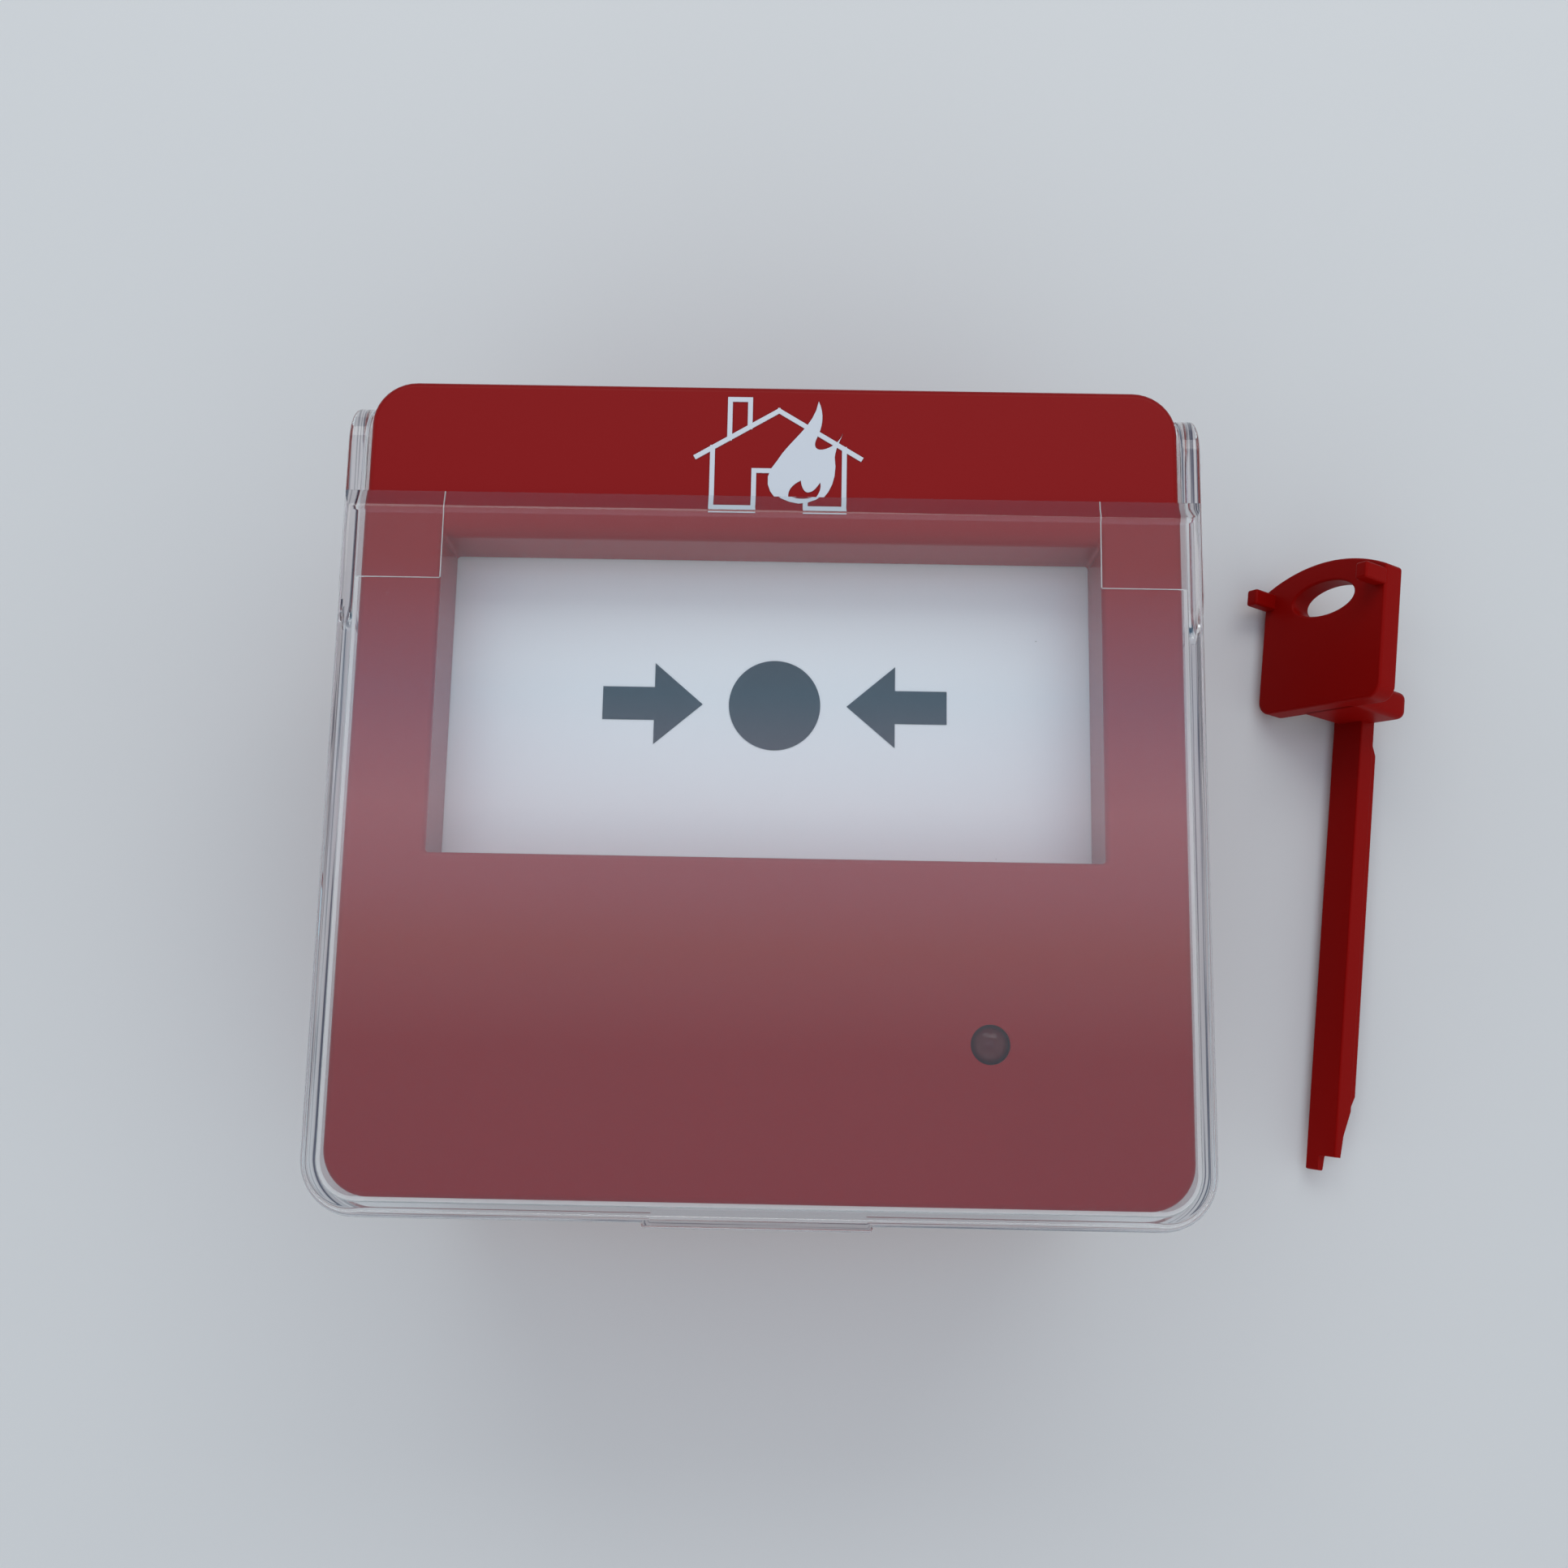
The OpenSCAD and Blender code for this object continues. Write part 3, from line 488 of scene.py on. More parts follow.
def make_entry_plugs():
    """Both plugs, turned on the lathe, with a coin slot cut across each head."""
    bm = bmesh.new()
    head = plug_top - box_top
    for side in (-1, 1):
        place = Matrix.Translation((side * entry_pitch / 2, box_top, shoulder / 2)) @ TURN_TO["y"]
        lathe(bm, [(0, head - 0.25), (6.0, head - 0.25), (6.5, head), (plug_r - 0.3, head),
                   (plug_r, head - 0.3), (plug_r, 0), (stub_r, 0), (stub_r, -wall - 1.0),
                   (stub_r - 0.25, -wall - 1.2), (6.4, -wall - 1.2), (6.4, -1.0), (0, -1.0)],
              place, steps=72)
    knife = bmesh.new()
    for side in (-1, 1):
        x = side * entry_pitch / 2
        add_block(knife, (x - coin_slot[0], plug_top - coin_slot[2], shoulder / 2 - coin_slot[1]),
                  (x + coin_slot[0], plug_top + 1, shoulder / 2 + coin_slot[1]))
    return combine(bm, knife)


finish_piece("entry_plug_pair", make_entry_plugs(), "housing", box_plastic,
             ["entry_plugs"])

# ------------------------------------------------------------------- front housing
# The red front that snaps over the box: moulded ABS with a fine satin grain. A square
# tunnel leads in to the press plate; its edge is softly rounded above and crisp elsewhere.

front_low, front_high = box_mm("front_housing")
plate_low, plate_high = box_mm("operating_plate")
front_z = front_high.z
front_radius = 5.0
front_fillet = 0.8
window_x = plate_high.x - 2.0
window_low = plate_low.y + 2.0
window_high = plate_high.y - 1.8
window_radius = 0.4
tunnel_end = plate_high.z + 0.4
tunnel_wall = 1.6
face_inside = front_z - 2.5
hinge_y, hinge_z = 38.5, 44.0
pin_hole = 1.68
side_middle = 37.0
boss_r, boss_inner, boss_end = 3.5, 40.8, 43.9
lens_low, lens_high = box_mm("indicator_lens")
lens_x, lens_y = (lens_low.x + lens_high.x) / 2, (lens_low.y + lens_high.y) / 2
lens_r = 2.1
key_slot = (2.8, 31.4, 36.8)
prong_x, prong_slot = 9.55, (1.25, 31.8, 34.7)
latch_x, latch_w, latch_y = 17.0, 6.0, (41.8, 43.4)
latch_levels = ((31, 33), (27.5, 29))


def front_outline(inset, level):
    return (front_high.x - inset, front_low.y + inset, front_high.y - inset,
            front_radius - inset, level)


def window_outline(side, top, level):
    return (window_x + side, window_low - side, window_high + top, window_radius + side, level)


def lip(width, drop, depth):
    """How far a rounded lip, width across and drop deep, still stands out at a depth."""
    if depth >= drop:
        return 0.0
    return width * (1 - math.sqrt(1 - (1 - depth / drop) ** 2))


def rounded_edge(outline, fillet, level, step):
    """Outlines up a quarter round, from the side wall to the face, one every step degrees."""
    turns = [math.radians(angle) for angle in range(0, 91, step)]
    return [outline(fillet * (1 - math.cos(turn)), level - fillet * (1 - math.sin(turn)))
            for turn in turns]


def make_front_housing():
    """One shell from the rim round the face and in through the window, then cut and fitted."""
    outlines = [front_outline(0.35, front_low.z), front_outline(0.0, front_low.z + 0.35),
                front_outline(0.0, side_middle)]
    outlines += rounded_edge(front_outline, front_fillet, front_z, 18)
    for depth in (0, 0.01, 0.04, 0.1, 0.18, 0.28, 0.4, 0.55, 0.75, 1.0, 1.3, 1.7):
        outlines.append(window_outline(lip(0.6, 0.6, depth), lip(2.6, 1.7, depth), front_z - depth))
    outlines += [window_outline(0, 0, tunnel_end + 0.2), window_outline(0.2, 0.2, tunnel_end),
                 window_outline(tunnel_wall - 0.2, tunnel_wall - 0.2, tunnel_end),
                 window_outline(tunnel_wall, tunnel_wall, tunnel_end + 0.2),
                 window_outline(tunnel_wall, tunnel_wall, face_inside),
                 front_outline(wall, face_inside), front_outline(wall, front_low.z + 0.3),
                 front_outline(wall - 0.3, front_low.z)]
    bm = shell_of(outlines)
    knife = bmesh.new()
    add_rod(knife, (lens_x, lens_y, face_inside - 1), "z", 6, lens_r + 0.02, sides=64)
    for side in (-1, 1):
        add_rod(knife, (side * 45 - 3, hinge_y, hinge_z), "x", 6, pin_hole)
        add_block(knife, (side * prong_x - prong_slot[0], front_low.y - 1, prong_slot[1]),
                  (side * prong_x + prong_slot[0], front_low.y + wall + 1, prong_slot[2]))
    add_block(knife, (-key_slot[0], front_low.y - 1, key_slot[1]),
              (key_slot[0], front_low.y + wall + 1, key_slot[2]), 0.4)
    bm = combine(bm, knife)
    for side in (-1, 1):
        lathe(bm, [(0, boss_inner), (boss_r - 0.4, boss_inner), (boss_r, boss_inner + 0.4),
                   (boss_r, boss_end), (pin_hole, boss_end), (pin_hole, boss_inner + 0.8),
                   (0, boss_inner + 0.8)],
              Matrix.Translation((0, hinge_y, hinge_z)) @ Matrix.Diagonal((side, 1, 1, 1))
              @ TURN_TO["x"])
        west = latch_x if side > 0 else -latch_x - latch_w
        for low, high in (latch_y, (-latch_y[1], -latch_y[0])):
            for bottom, top in latch_levels:
                add_block(bm, (west, low, bottom), (west + latch_w, high, top), 0.2)
    bmesh.ops.recalc_face_normals(bm, faces=list(bm.faces))
    for face in bm.faces:
        middle = face.calc_center_median()
        face.material_index = int(abs(middle.x) < window_x + 0.4 and abs(face.normal.z) < 0.4
                                  and window_low - 0.4 < middle.y < window_high + 0.4)
    return bm


front_red = paint(143, 17, 18)
front_plastic = moulded_plastic("front housing plastic", front_red, grain=3800, drift=0.07,
                                rough=0.38, spread=0.12, relief=0.14, dust=0.03, gloss=0.13)
tunnel_polish = moulded_plastic("tunnel polish", front_red, grain=1800, drift=0.05, rough=0.22,
                                spread=0.06, relief=0.03, gloss=0.35)
front = finish_piece("front_shell", make_front_housing(), "housing", front_plastic,
                     ["front_housing"])
front.data.materials.append(tunnel_polish)

# ---------------------------------------------------------------- house and flame
# A plain sign of a house and a flame, pad printed on the header in one thin coat of
# white ink.

def printed_ink(name, colour, rough):
    """A thin coat of ink: nearly flat colour, a little patchy, with fine pinholes."""
    return moulded_plastic(name, colour, grain=9000, drift=0.05, rough=rough, spread=0.15,
                           relief=0.05, dust=0.0, gloss=0.25)


give_finish("house_flame_mark", printed_ink("white ink", paint(214, 221, 230), 0.5))

# --------------------------------------------------------------------- status lens
# A light pipe moulded in smoked red acrylic, pushed in from behind until its collar meets
# the front. Its dome stands just proud.

def make_lens():
    """Half the section, from the foot up over the collar and the dome, turned on the lathe."""
    bm = bmesh.new()
    foot, top = lens_low.z, lens_high.z
    pipe_r, collar_r, collar_thick = 1.8, lens_r + 0.7, 1.1
    rise = 1.1
    ball = (lens_r ** 2 + rise ** 2) / (2 * rise)
    profile = [(0, foot), (pipe_r - 0.2, foot), (pipe_r, foot + 0.2),
               (pipe_r, face_inside - collar_thick), (collar_r, face_inside - collar_thick),
               (collar_r, face_inside - PROUD), (lens_r, face_inside - PROUD)]
    edge = math.asin(lens_r / ball)
    steps = 12
    for step in range(steps + 1):
        angle = edge * (1 - step / steps)
        profile.append((ball * math.sin(angle), top - ball + ball * math.cos(angle)))
    lathe(bm, profile, Matrix.Translation((lens_x, lens_y, 0)), steps=64)
    return bm


def make_lens_finish():
    """Smoked red and very smooth: a deep colour under little gloss."""
    finish, tree, shader, place = start_finish("smoked red lens")
    skin = add_skin(tree, shader, place, colour=paint(84, 10, 14), grain_scale=1500.0,
                    drift=0.15, roughness=0.07, gloss_spread=0.05)
    shader.inputs["Specular IOR Level"].default_value = 0.25
    add_relief(tree, shader, skin.outputs["Height"], 0.03, 0.00003)
    return finish


finish_piece("lens_dome", make_lens(), "housing", make_lens_finish(), ["indicator_lens"])

# ------------------------------------------------------------------------- chassis
# The pale inner frame that carries the board underneath and the switch and flag guides
# on top. It is moulded in natural ABS and held by two screws.

chassis_plastic = moulded_plastic("chassis plastic", paint(205, 205, 200), grain=3000, drift=0.06,
                                  rough=0.5, spread=0.15, relief=0.14, dust=0.12, gloss=0.4)
give_finish("chassis", chassis_plastic)


def make_steel(name, colour, stretch, rough):
    """Bright metal with fine drawing lines and a few darker patches."""
    finish, tree, shader, place = start_finish(name)
    lines_place = add_texture(tree, "ShaderNodeMapping", place, {"Scale": stretch})
    lines = add_texture(tree, "ShaderNodeTexNoise", lines_place.outputs["Vector"],
                        {"Scale": 900.0, "Detail": 5.0})
    add_skin(tree, shader, place, colour=colour, grain_scale=2500.0, drift=0.35,
             roughness=rough, gloss_spread=0.3)
    shader.inputs["Metallic"].default_value = 1.0
    add_relief(tree, shader, lines.outputs["Fac"], 0.25, 0.00003)
    return finish


screw_steel = make_steel("zinc plated steel", paint(196, 198, 202), (1, 1, 0.1), 0.3)
for screw_node in ("chassis_screws", "board_screws", "terminal_screws"):
    give_finish(screw_node, screw_steel)

# -------------------------------------------------------------------- circuit board
# A glass-epoxy board under a green solder mask, with copper traces below the mask. It
# carries the chips, the address switch, the terminals and the status LED.

def make_board_finish():
    """Green solder mask over rows of copper traces, crowded in some places only."""
    finish, tree, shader, place = start_finish("green solder mask")
    traces = add_texture(tree, "ShaderNodeTexBrick", place,
                         {"Scale": 420.0, "Mortar Size": 0.05, "Mortar Smooth": 0.15, "Bias": 0.0,
                          "Brick Width": 1.1, "Row Height": 0.42}, offset=0.37, squash=1.4)
    patches = add_texture(tree, "ShaderNodeTexNoise", place, {"Scale": 130.0, "Detail": 1.0})
    crowded = calc(tree, "GREATER_THAN", patches.outputs["Fac"], 0.48)
    routed = calc(tree, "MULTIPLY", traces.outputs["Fac"], crowded)
    skin = add_skin(tree, shader, place, colour=paint(14, 84, 48), grain_scale=4000.0,
                    drift=0.12, roughness=0.28, gloss_spread=0.1)
    copper = mix_colours(tree, routed, skin.outputs["Colour"], paint(52, 134, 72))
    tree.links.new(copper, shader.inputs["Base Color"])
    shader.inputs["Coat Weight"].default_value = 0.3
    add_relief(tree, shader, routed, 0.4, 0.00004)
    return finish


give_finish("circuit_board", make_board_finish())
give_finish("board_chips", moulded_plastic(
    "chip epoxy", paint(30, 30, 32), grain=6000, drift=0.2, rough=0.55, spread=0.2, relief=0.3,
    dust=0.1, gloss=0.4))
give_finish("address_switch", moulded_plastic(
    "address switch red", paint(160, 24, 26), grain=4200, drift=0.08, rough=0.38, relief=0.1,
    dust=0.08, gloss=0.4))
give_finish("address_levers", moulded_plastic(
    "address lever white", paint(226, 226, 220), grain=4200, drift=0.05, rough=0.42, relief=0.08,
    dust=0.08, gloss=0.4))
give_finish("terminal_blocks", moulded_plastic(
    "terminal green", paint(30, 118, 66), grain=3600, drift=0.08, rough=0.42, relief=0.12,
    dust=0.1, gloss=0.4))
give_finish("status_led", moulded_plastic(
    "led body", paint(238, 214, 150), grain=2500, drift=0.08, rough=0.18, relief=0.04,
    dust=0.0, gloss=0.5))

# -------------------------------------------------------------------------- switch
# A sealed snap switch in black glass-filled nylon, soldered to the board through a slot
# in the chassis, and worked by a bent steel leaf.

black_nylon = moulded_plastic("black nylon", paint(34, 34, 36), grain=2800, drift=0.25, rough=0.5,
                              spread=0.2, relief=0.22, dust=0.12, gloss=0.4)
give_finish("switch_body", black_nylon)
leaf_steel = make_steel("spring steel", paint(176, 178, 184), (0.08, 1, 1), 0.26)
give_finish("switch_lever", leaf_steel)

# ------------------------------------------------------------------ press mechanism
# The white press plate is bonded to a black carrier on four stems. Coil springs hold it
# out; two bent leaf springs click over when a thumb pushes it in.

land_x, land_inset = 24.0, 8.0


def make_press_plate():
    """The sheet, with two bonding lands on its back that bear on the carrier."""
    bm = bmesh.new()
    add_block(bm, plate_low, plate_high, 0.25, 3)
    for side in (-1, 1):
        middle = side * land_x
        add_block(bm, (middle - land_inset, plate_low.y + land_inset, plate_low.z - PROUD),
                  (middle + land_inset, plate_high.y - land_inset, plate_low.z + 0.5), 0.1)
    return bm


def make_plate_finish():
    """White polycarbonate sheet with a satin face, a trace of handling and a few specks."""
    return moulded_plastic("press plate white", paint(241, 243, 246), grain=5200, drift=0.03,
                           rough=0.36, spread=0.14, relief=0.05, dust=0.07, gloss=0.45,
                           dust_colour=paint(120, 118, 116))


finish_piece("press_plate_sheet", make_press_plate(), "press_plate", make_plate_finish(),
             ["operating_plate"])
give_finish("plate_marks", printed_ink("dark ink", paint(8, 22, 31), 0.5))
give_finish("plate_carrier", black_nylon)
give_finish("detent_springs", leaf_steel)

spring_low, spring_high = box_mm("plate_springs")
coil_r = 2.6
wire_r = 0.3
coil_turns, turn_steps = 5, 22
stem_x = spring_high.x - coil_r - wire_r
stem_rows = (spring_low.y + coil_r + wire_r, spring_high.y - coil_r - wire_r)


def make_plate_springs():
    """Round wire wound into a helix round each of the four stems."""
    bm = bmesh.new()
    rise = spring_high.z - spring_low.z - 2 * wire_r
    steps = coil_turns * turn_steps
    for side in (-1, 1):
        for row in stem_rows:
            before = set(bm.verts)
            wire = bmesh.ops.create_circle(
                bm, cap_ends=True, segments=10, radius=wire_r,
                matrix=Matrix.Translation((coil_r, 0, spring_low.z + wire_r))
                @ Matrix.Rotation(math.pi / 2, 4, "X"))["verts"]
            faces = list({f for v in wire for f in v.link_faces})
            edges = list({e for v in wire for e in v.link_edges})
            bmesh.ops.spin(bm, geom=wire + edges + faces, cent=(0, 0, 0), axis=(0, 0, 1),
                           dvec=(0, 0, rise / steps), angle=2 * math.pi * coil_turns, steps=steps)
            made = [v for v in bm.verts if v not in before]
            bmesh.ops.translate(bm, vec=(side * stem_x, row, 0), verts=made)
    bmesh.ops.recalc_face_normals(bm, faces=list(bm.faces))
    return bm


coil_steel = make_steel("coil spring steel", paint(182, 184, 190), (1, 1, 1), 0.24)
coils = finish_piece("plate_coils", make_plate_springs(), "housing", coil_steel,
                     ["plate_springs"])
coils.modifiers.clear()
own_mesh(coils)

# ---------------------------------------------------------------------- alarm flag
# The yellow strip that drops into view at the top of the window after a press. It is
# moulded in one piece, slides in guides on the chassis and follows the carrier.

flag_plastic = moulded_plastic("flag yellow", paint(236, 190, 40), grain=3200, drift=0.05,
                               rough=0.42, spread=0.12, relief=0.1, dust=0.05, gloss=0.4)
give_finish("alarm_flag", flag_plastic)

# ---------------------------------------------------------------------- flip cover
# The clear hinged cover is moulded in one piece of polycarbonate: a tray over the front,
# two thicker hinge arms with round pins, and a thumb tab at the bottom.

cover_low, cover_high = box_mm("flip_cover")
cover_x, cover_bottom, cover_front = 47.9, -47.4, cover_high.z
cover_wall = 1.5
cover_edge = 31.7
cover_radius = 6.0
cover_fillet = 1.1
lip_length, lip_drop = 2.2, 0.9
arm_inside, arm_outside, arm_r, arm_lower = 46.4, 48.7, 5.5, 22.0
pin_r, pin_end = 1.6, 42.0
pad_x, pad_y, pad_thick, pad_edge = 36.7, 21.6, 0.3, 0.16
tab_half = 12.0
wall_band = 0.8


def sharp_edges(faces, degrees=35):
    """Edges of these faces that turn by more than an angle."""
    edges = {e for f in faces for e in f.edges}
    return [e for e in edges if len(e.link_faces) == 2
            and e.calc_face_angle(0) > math.radians(degrees)]


def thicken(bm, faces, vec, edge, steps=3):
    """Extrudes a flat face to a solid and rounds its sharp edges."""
    made = bmesh.ops.extrude_face_region(bm, geom=faces, use_keep_orig=True)["geom"]
    verts = [v for v in made if isinstance(v, bmesh.types.BMVert)]
    bmesh.ops.translate(bm, vec=vec, verts=verts)
    solid = list({f for v in verts for f in v.link_faces} | set(faces))
    bmesh.ops.recalc_face_normals(bm, faces=solid)
    bmesh.ops.bevel(bm, geom=sharp_edges(solid), offset=edge, segments=steps, profile=0.5,
                    affect="EDGES", material=-1)


def cover_outline(inset, level):
    return (cover_x - inset, cover_bottom + inset, cover_x - inset,
            max(cover_radius - inset, 0.4), level)


def make_tray():
    """The tray alone: a closed shell whose walls and front are one thickness."""
    rim = cover_low.z
    ceiling = cover_front - cover_wall
    outlines = [cover_outline(cover_wall + 0.6, ceiling),
                cover_outline(cover_wall + 0.18, ceiling - 0.18),
                cover_outline(cover_wall, ceiling - 0.6), cover_outline(cover_wall, rim + 0.25),
                cover_outline(cover_wall - 0.25, rim), cover_outline(0.25, rim),
                cover_outline(0.0, rim + 0.25)]
    outlines += rounded_edge(cover_outline, cover_fillet, cover_front, 15)
    return shell_of(outlines, closed=False, steps=16)


def slice_off(bm, point, normal):
    """Cuts away what lies beyond a plane, and closes the cut."""
    bmesh.ops.bisect_plane(bm, geom=list(bm.verts) + list(bm.edges) + list(bm.faces),
                           dist=1e-5, plane_co=point, plane_no=normal, clear_outer=True)
    bmesh.ops.holes_fill(bm, edges=[e for e in bm.edges if e.is_boundary])
    bmesh.ops.recalc_face_normals(bm, faces=list(bm.faces))


def add_slab(bm, shape, thick, edge, steps):
    """A flat slab with round ends: one outline, filled and thickened."""
    start_outline(bm, shape, steps=16)
    bmesh.ops.holes_fill(bm, edges=list(bm.edges))
    thicken(bm, list(bm.faces), (0, 0, thick), edge, steps)


def make_arms():
    """Both hinge arms with their pins, and the thumb tab."""
    bm, recess = bmesh.new(), bmesh.new()
    length = (hinge_y - arm_lower) / 2 + arm_r
    add_slab(bm, (length, -arm_r, arm_r, arm_r - 0.01, 0), arm_outside - arm_inside, 0.4, 4)
    rim = 0.9
    add_slab(recess, (length - rim, rim - arm_r, arm_r - rim, arm_r - rim - 0.01, 2.0), 1.0, 0.1, 1)
    bm = combine(bm, recess)
    stand = Matrix(((0, 0, 1, arm_inside), (1, 0, 0, (hinge_y + arm_lower) / 2),
                    (0, 1, 0, hinge_z), (0, 0, 0, 1)))
    bmesh.ops.transform(bm, matrix=stand, verts=list(bm.verts))
    pin = bmesh.new()
    lathe(pin, [(0, pin_end), (pin_r - 0.3, pin_end), (pin_r, pin_end + 0.3),
                (pin_r, arm_inside + 0.6), (0, arm_inside + 0.6)],
          Matrix.Translation((0, hinge_y, hinge_z)) @ TURN_TO["x"])
    bm = combine(bm, pin, "UNION")
    twin = bmesh.ops.duplicate(bm, geom=list(bm.verts) + list(bm.edges) + list(bm.faces))["geom"]
    verts = [v for v in twin if isinstance(v, bmesh.types.BMVert)]
    bmesh.ops.scale(bm, vec=(-1, 1, 1), verts=verts)
    bmesh.ops.reverse_faces(bm, faces=[f for f in twin if isinstance(f, bmesh.types.BMFace)])
    add_block(bm, (-tab_half, cover_low.y, cover_low.z),
              (tab_half, cover_bottom + 1.0, cover_front - 0.3), 0.35, 3)
    return bm


def make_clear_cover():
    """The tray with a step under each hinge corner, cut to a lip at the top, and its arms."""
    bm = make_tray()
    pads = bmesh.new()
    ceiling = cover_front - cover_wall
    for side in (-1, 1):
        low_x, high_x = sorted((side * pad_x, side * (cover_x - 0.7)))
        add_block(pads, (low_x, pad_y, ceiling - pad_thick),
                  (high_x, cover_edge + 3, ceiling + 0.7), pad_edge, 1)
    bm = combine(bm, pads, "UNION")
    slice_off(bm, (0, cover_edge, 0), (0, 1, 0))
    slice_off(bm, (0, cover_edge - lip_length, cover_front), (0, lip_drop, lip_length))
    crest = [e for e in bm.edges if all(abs(v.co.y - cover_edge + lip_length) < 0.01
                                        and v.co.z > cover_front - 0.01 for v in e.verts)]
    bmesh.ops.bevel(bm, geom=crest, offset=0.5, segments=5, profile=0.5, affect="EDGES",
                    material=-1)
    bm = combine(bm, make_arms(), "UNION")
    bmesh.ops.recalc_face_normals(bm, faces=list(bm.faces))
    for face in bm.faces:
        middle, tilt = face.calc_center_median(), abs(face.normal.z)
        east = abs(middle.x) - cover_x + cover_radius
        south = cover_bottom + cover_radius - middle.y
        reach = math.hypot(east, south) if min(east, south) > 0 else max(east, south)
        beside = reach > cover_radius - wall_band
        on_pad = middle.z < ceiling - 0.02 and 0.3 < tilt < 0.95 and abs(middle.x) < cover_x - 1.6
        face.material_index = 2 if on_pad else int(beside and tilt < 0.9)
    return bm


def make_clear_finish(name, guided=0.0, frost=0.0):
    """Clear polycarbonate: faint smears and hairlines in the gloss; lamps shine through it.
    Guided is how much of the light that grazes a side wall from inside leaves it. That light is
    tinted in long lighter and darker lines; the dark-blue ones are a painted reflection of the dark
    room."""
    finish, tree, shader, place = start_finish(name)
    link = tree.links.new
    smear = add_texture(tree, "ShaderNodeTexNoise", place,
                        {"Scale": 60.0, "Detail": 3.0, "Distortion": 0.8})
    gloss = map_range(tree, smear.outputs["Fac"], 0.45, 0.75, (0.012 + frost, 0.05 + frost))
    link(gloss, shader.inputs["Roughness"])
    shader.inputs["Base Color"].default_value = (0.97, 0.98, 0.985, 1)
    shader.inputs["Transmission Weight"].default_value = 1.0 - frost
    shader.inputs["IOR"].default_value = 1.585
    wave = add_texture(tree, "ShaderNodeTexNoise", place, {"Scale": 25.0, "Detail": 1.0})
    add_relief(tree, shader, wave.outputs["Fac"], 0.02, 0.0004)
    passing = add_node(tree, "ShaderNodeBsdfTransparent", {"Color": (0.93, 0.94, 0.94, 1)})
    path = add_node(tree, "ShaderNodeLightPath")
    lets_by = calc(tree, "MAXIMUM", path.outputs["Is Shadow Ray"], path.outputs["Is Diffuse Ray"])
    if guided:
        along = add_texture(tree, "ShaderNodeMapping", place, {"Scale": (0.04, 0.04, 1.0)})
        streaks = add_texture(tree, "ShaderNodeTexNoise", along.outputs["Vector"],
                              {"Scale": 520.0, "Detail": 2.0})
        angle = add_node(tree, "ShaderNodeLayerWeight")
        grazing = map_range(tree, angle.outputs["Facing"], 0.3, 0.55, (0.0, guided))
        # Painted reflection: dark-blue streaks in the colour of the light that leaves the walls
        # stand in for reflections of the dark room.
        dark = calc(tree, "MULTIPLY", map_range(tree, streaks.outputs["Fac"], 0.5, 0.4), grazing)
        painted_reflection_tint = mix_colours(tree, dark, (0.95, 0.96, 0.97, 1), (0.06, 0.09, 0.16, 1))
        link(painted_reflection_tint, passing.inputs["Color"])
        side = add_node(tree, "ShaderNodeNewGeometry")
        leaves = calc(tree, "MULTIPLY", side.outputs["Backfacing"], grazing)
        lets_by = calc(tree, "MAXIMUM", lets_by, leaves)
    choice = add_node(tree, "ShaderNodeMixShader")
    for place, source in enumerate((lets_by, shader.outputs["BSDF"], passing.outputs["BSDF"])):
        link(source, choice.inputs[place])
    link(choice.outputs[0], tree.nodes["Material Output"].inputs["Surface"])
    return finish


clear_plastic = make_clear_finish("clear polycarbonate")
clear_wall = make_clear_finish("clear polycarbonate walls", guided=0.9)
clear_step = make_clear_finish("frosted pad edge", frost=0.35)
cover = finish_piece("clear_cover", make_clear_cover(), "cover", clear_plastic,
                     ["flip_cover"])
cover.data.materials.append(clear_wall)
cover.data.materials.append(clear_step)

# ------------------------------------------------------------------------ test key
# A red moulded key: a bow with a ring hole and two prongs, a shelf, and a long blade that
# ends in a wedge. It lies beside the housing, rolled on to one edge.

bow_w, bow_h, bow_t, bow_rise = 21.0, 18.1, 3.2, 2.5
ring_hole = (10.6, 4.8, 15.3)
key_prong = (1.9, 2.3, 3.7)
shelf_w, shelf_t = 10.2, 3.8
blade_w, blade_t, blade_l, blade_x = 5.0, 2.6, 61.6, -2.8
wedge_l, tip_l, tip_t, tip_w = 8.2, 4.9, 0.9, 2.2
rib_proud, rib_end, rib_across = 0.65, -2.4, 1.4
key_roll, key_lean = math.radians(60.0), math.radians(5.9)
roll_sin, roll_cos = math.sin(key_roll), math.cos(key_roll)
bow_rest = bow_w / 2 * roll_sin + bow_t / 2 * roll_cos
blade_z = blade_t / 2 - (bow_rest - (blade_w / 2 - blade_x) * roll_sin) / roll_cos


def make_key_bow():
    """The bow: square below, arched above, with an oval ring hole."""
    bm = bmesh.new()
    arch_r = ((bow_w / 2) ** 2 + bow_rise ** 2) / (2 * bow_rise)
    spread = math.asin(bow_w / 2 / arch_r)
    points = [(-bow_w / 2, 0), (bow_w / 2, 0)]
    centre, half_steps = bow_h + bow_rise - arch_r, 12
    for step in range(2 * half_steps + 1):
        angle = spread * (1 - step / half_steps)
        points.append((arch_r * math.sin(angle), centre + arch_r * math.cos(angle)))
    verts = [bm.verts.new((x, y, -bow_t / 2)) for x, y in points]
    bm.faces.new(verts)
    bmesh.ops.bevel(bm, geom=verts[:2], offset=2.0, segments=8, profile=0.5, affect="VERTICES",
                    material=-1)
    bmesh.ops.delete(bm, geom=list(bm.faces), context="FACES_ONLY")
    bmesh.ops.create_circle(bm, segments=48, radius=ring_hole[1] / 2,
                            matrix=Matrix.Translation((0, ring_hole[2], -bow_t / 2))
                            @ Matrix.Diagonal((ring_hole[0] / ring_hole[1], 1, 1, 1)))
    bmesh.ops.triangle_fill(bm, edges=list(bm.edges), use_beauty=True)
    thicken(bm, list(bm.faces), (0, 0, bow_t), 0.35)
    return bm


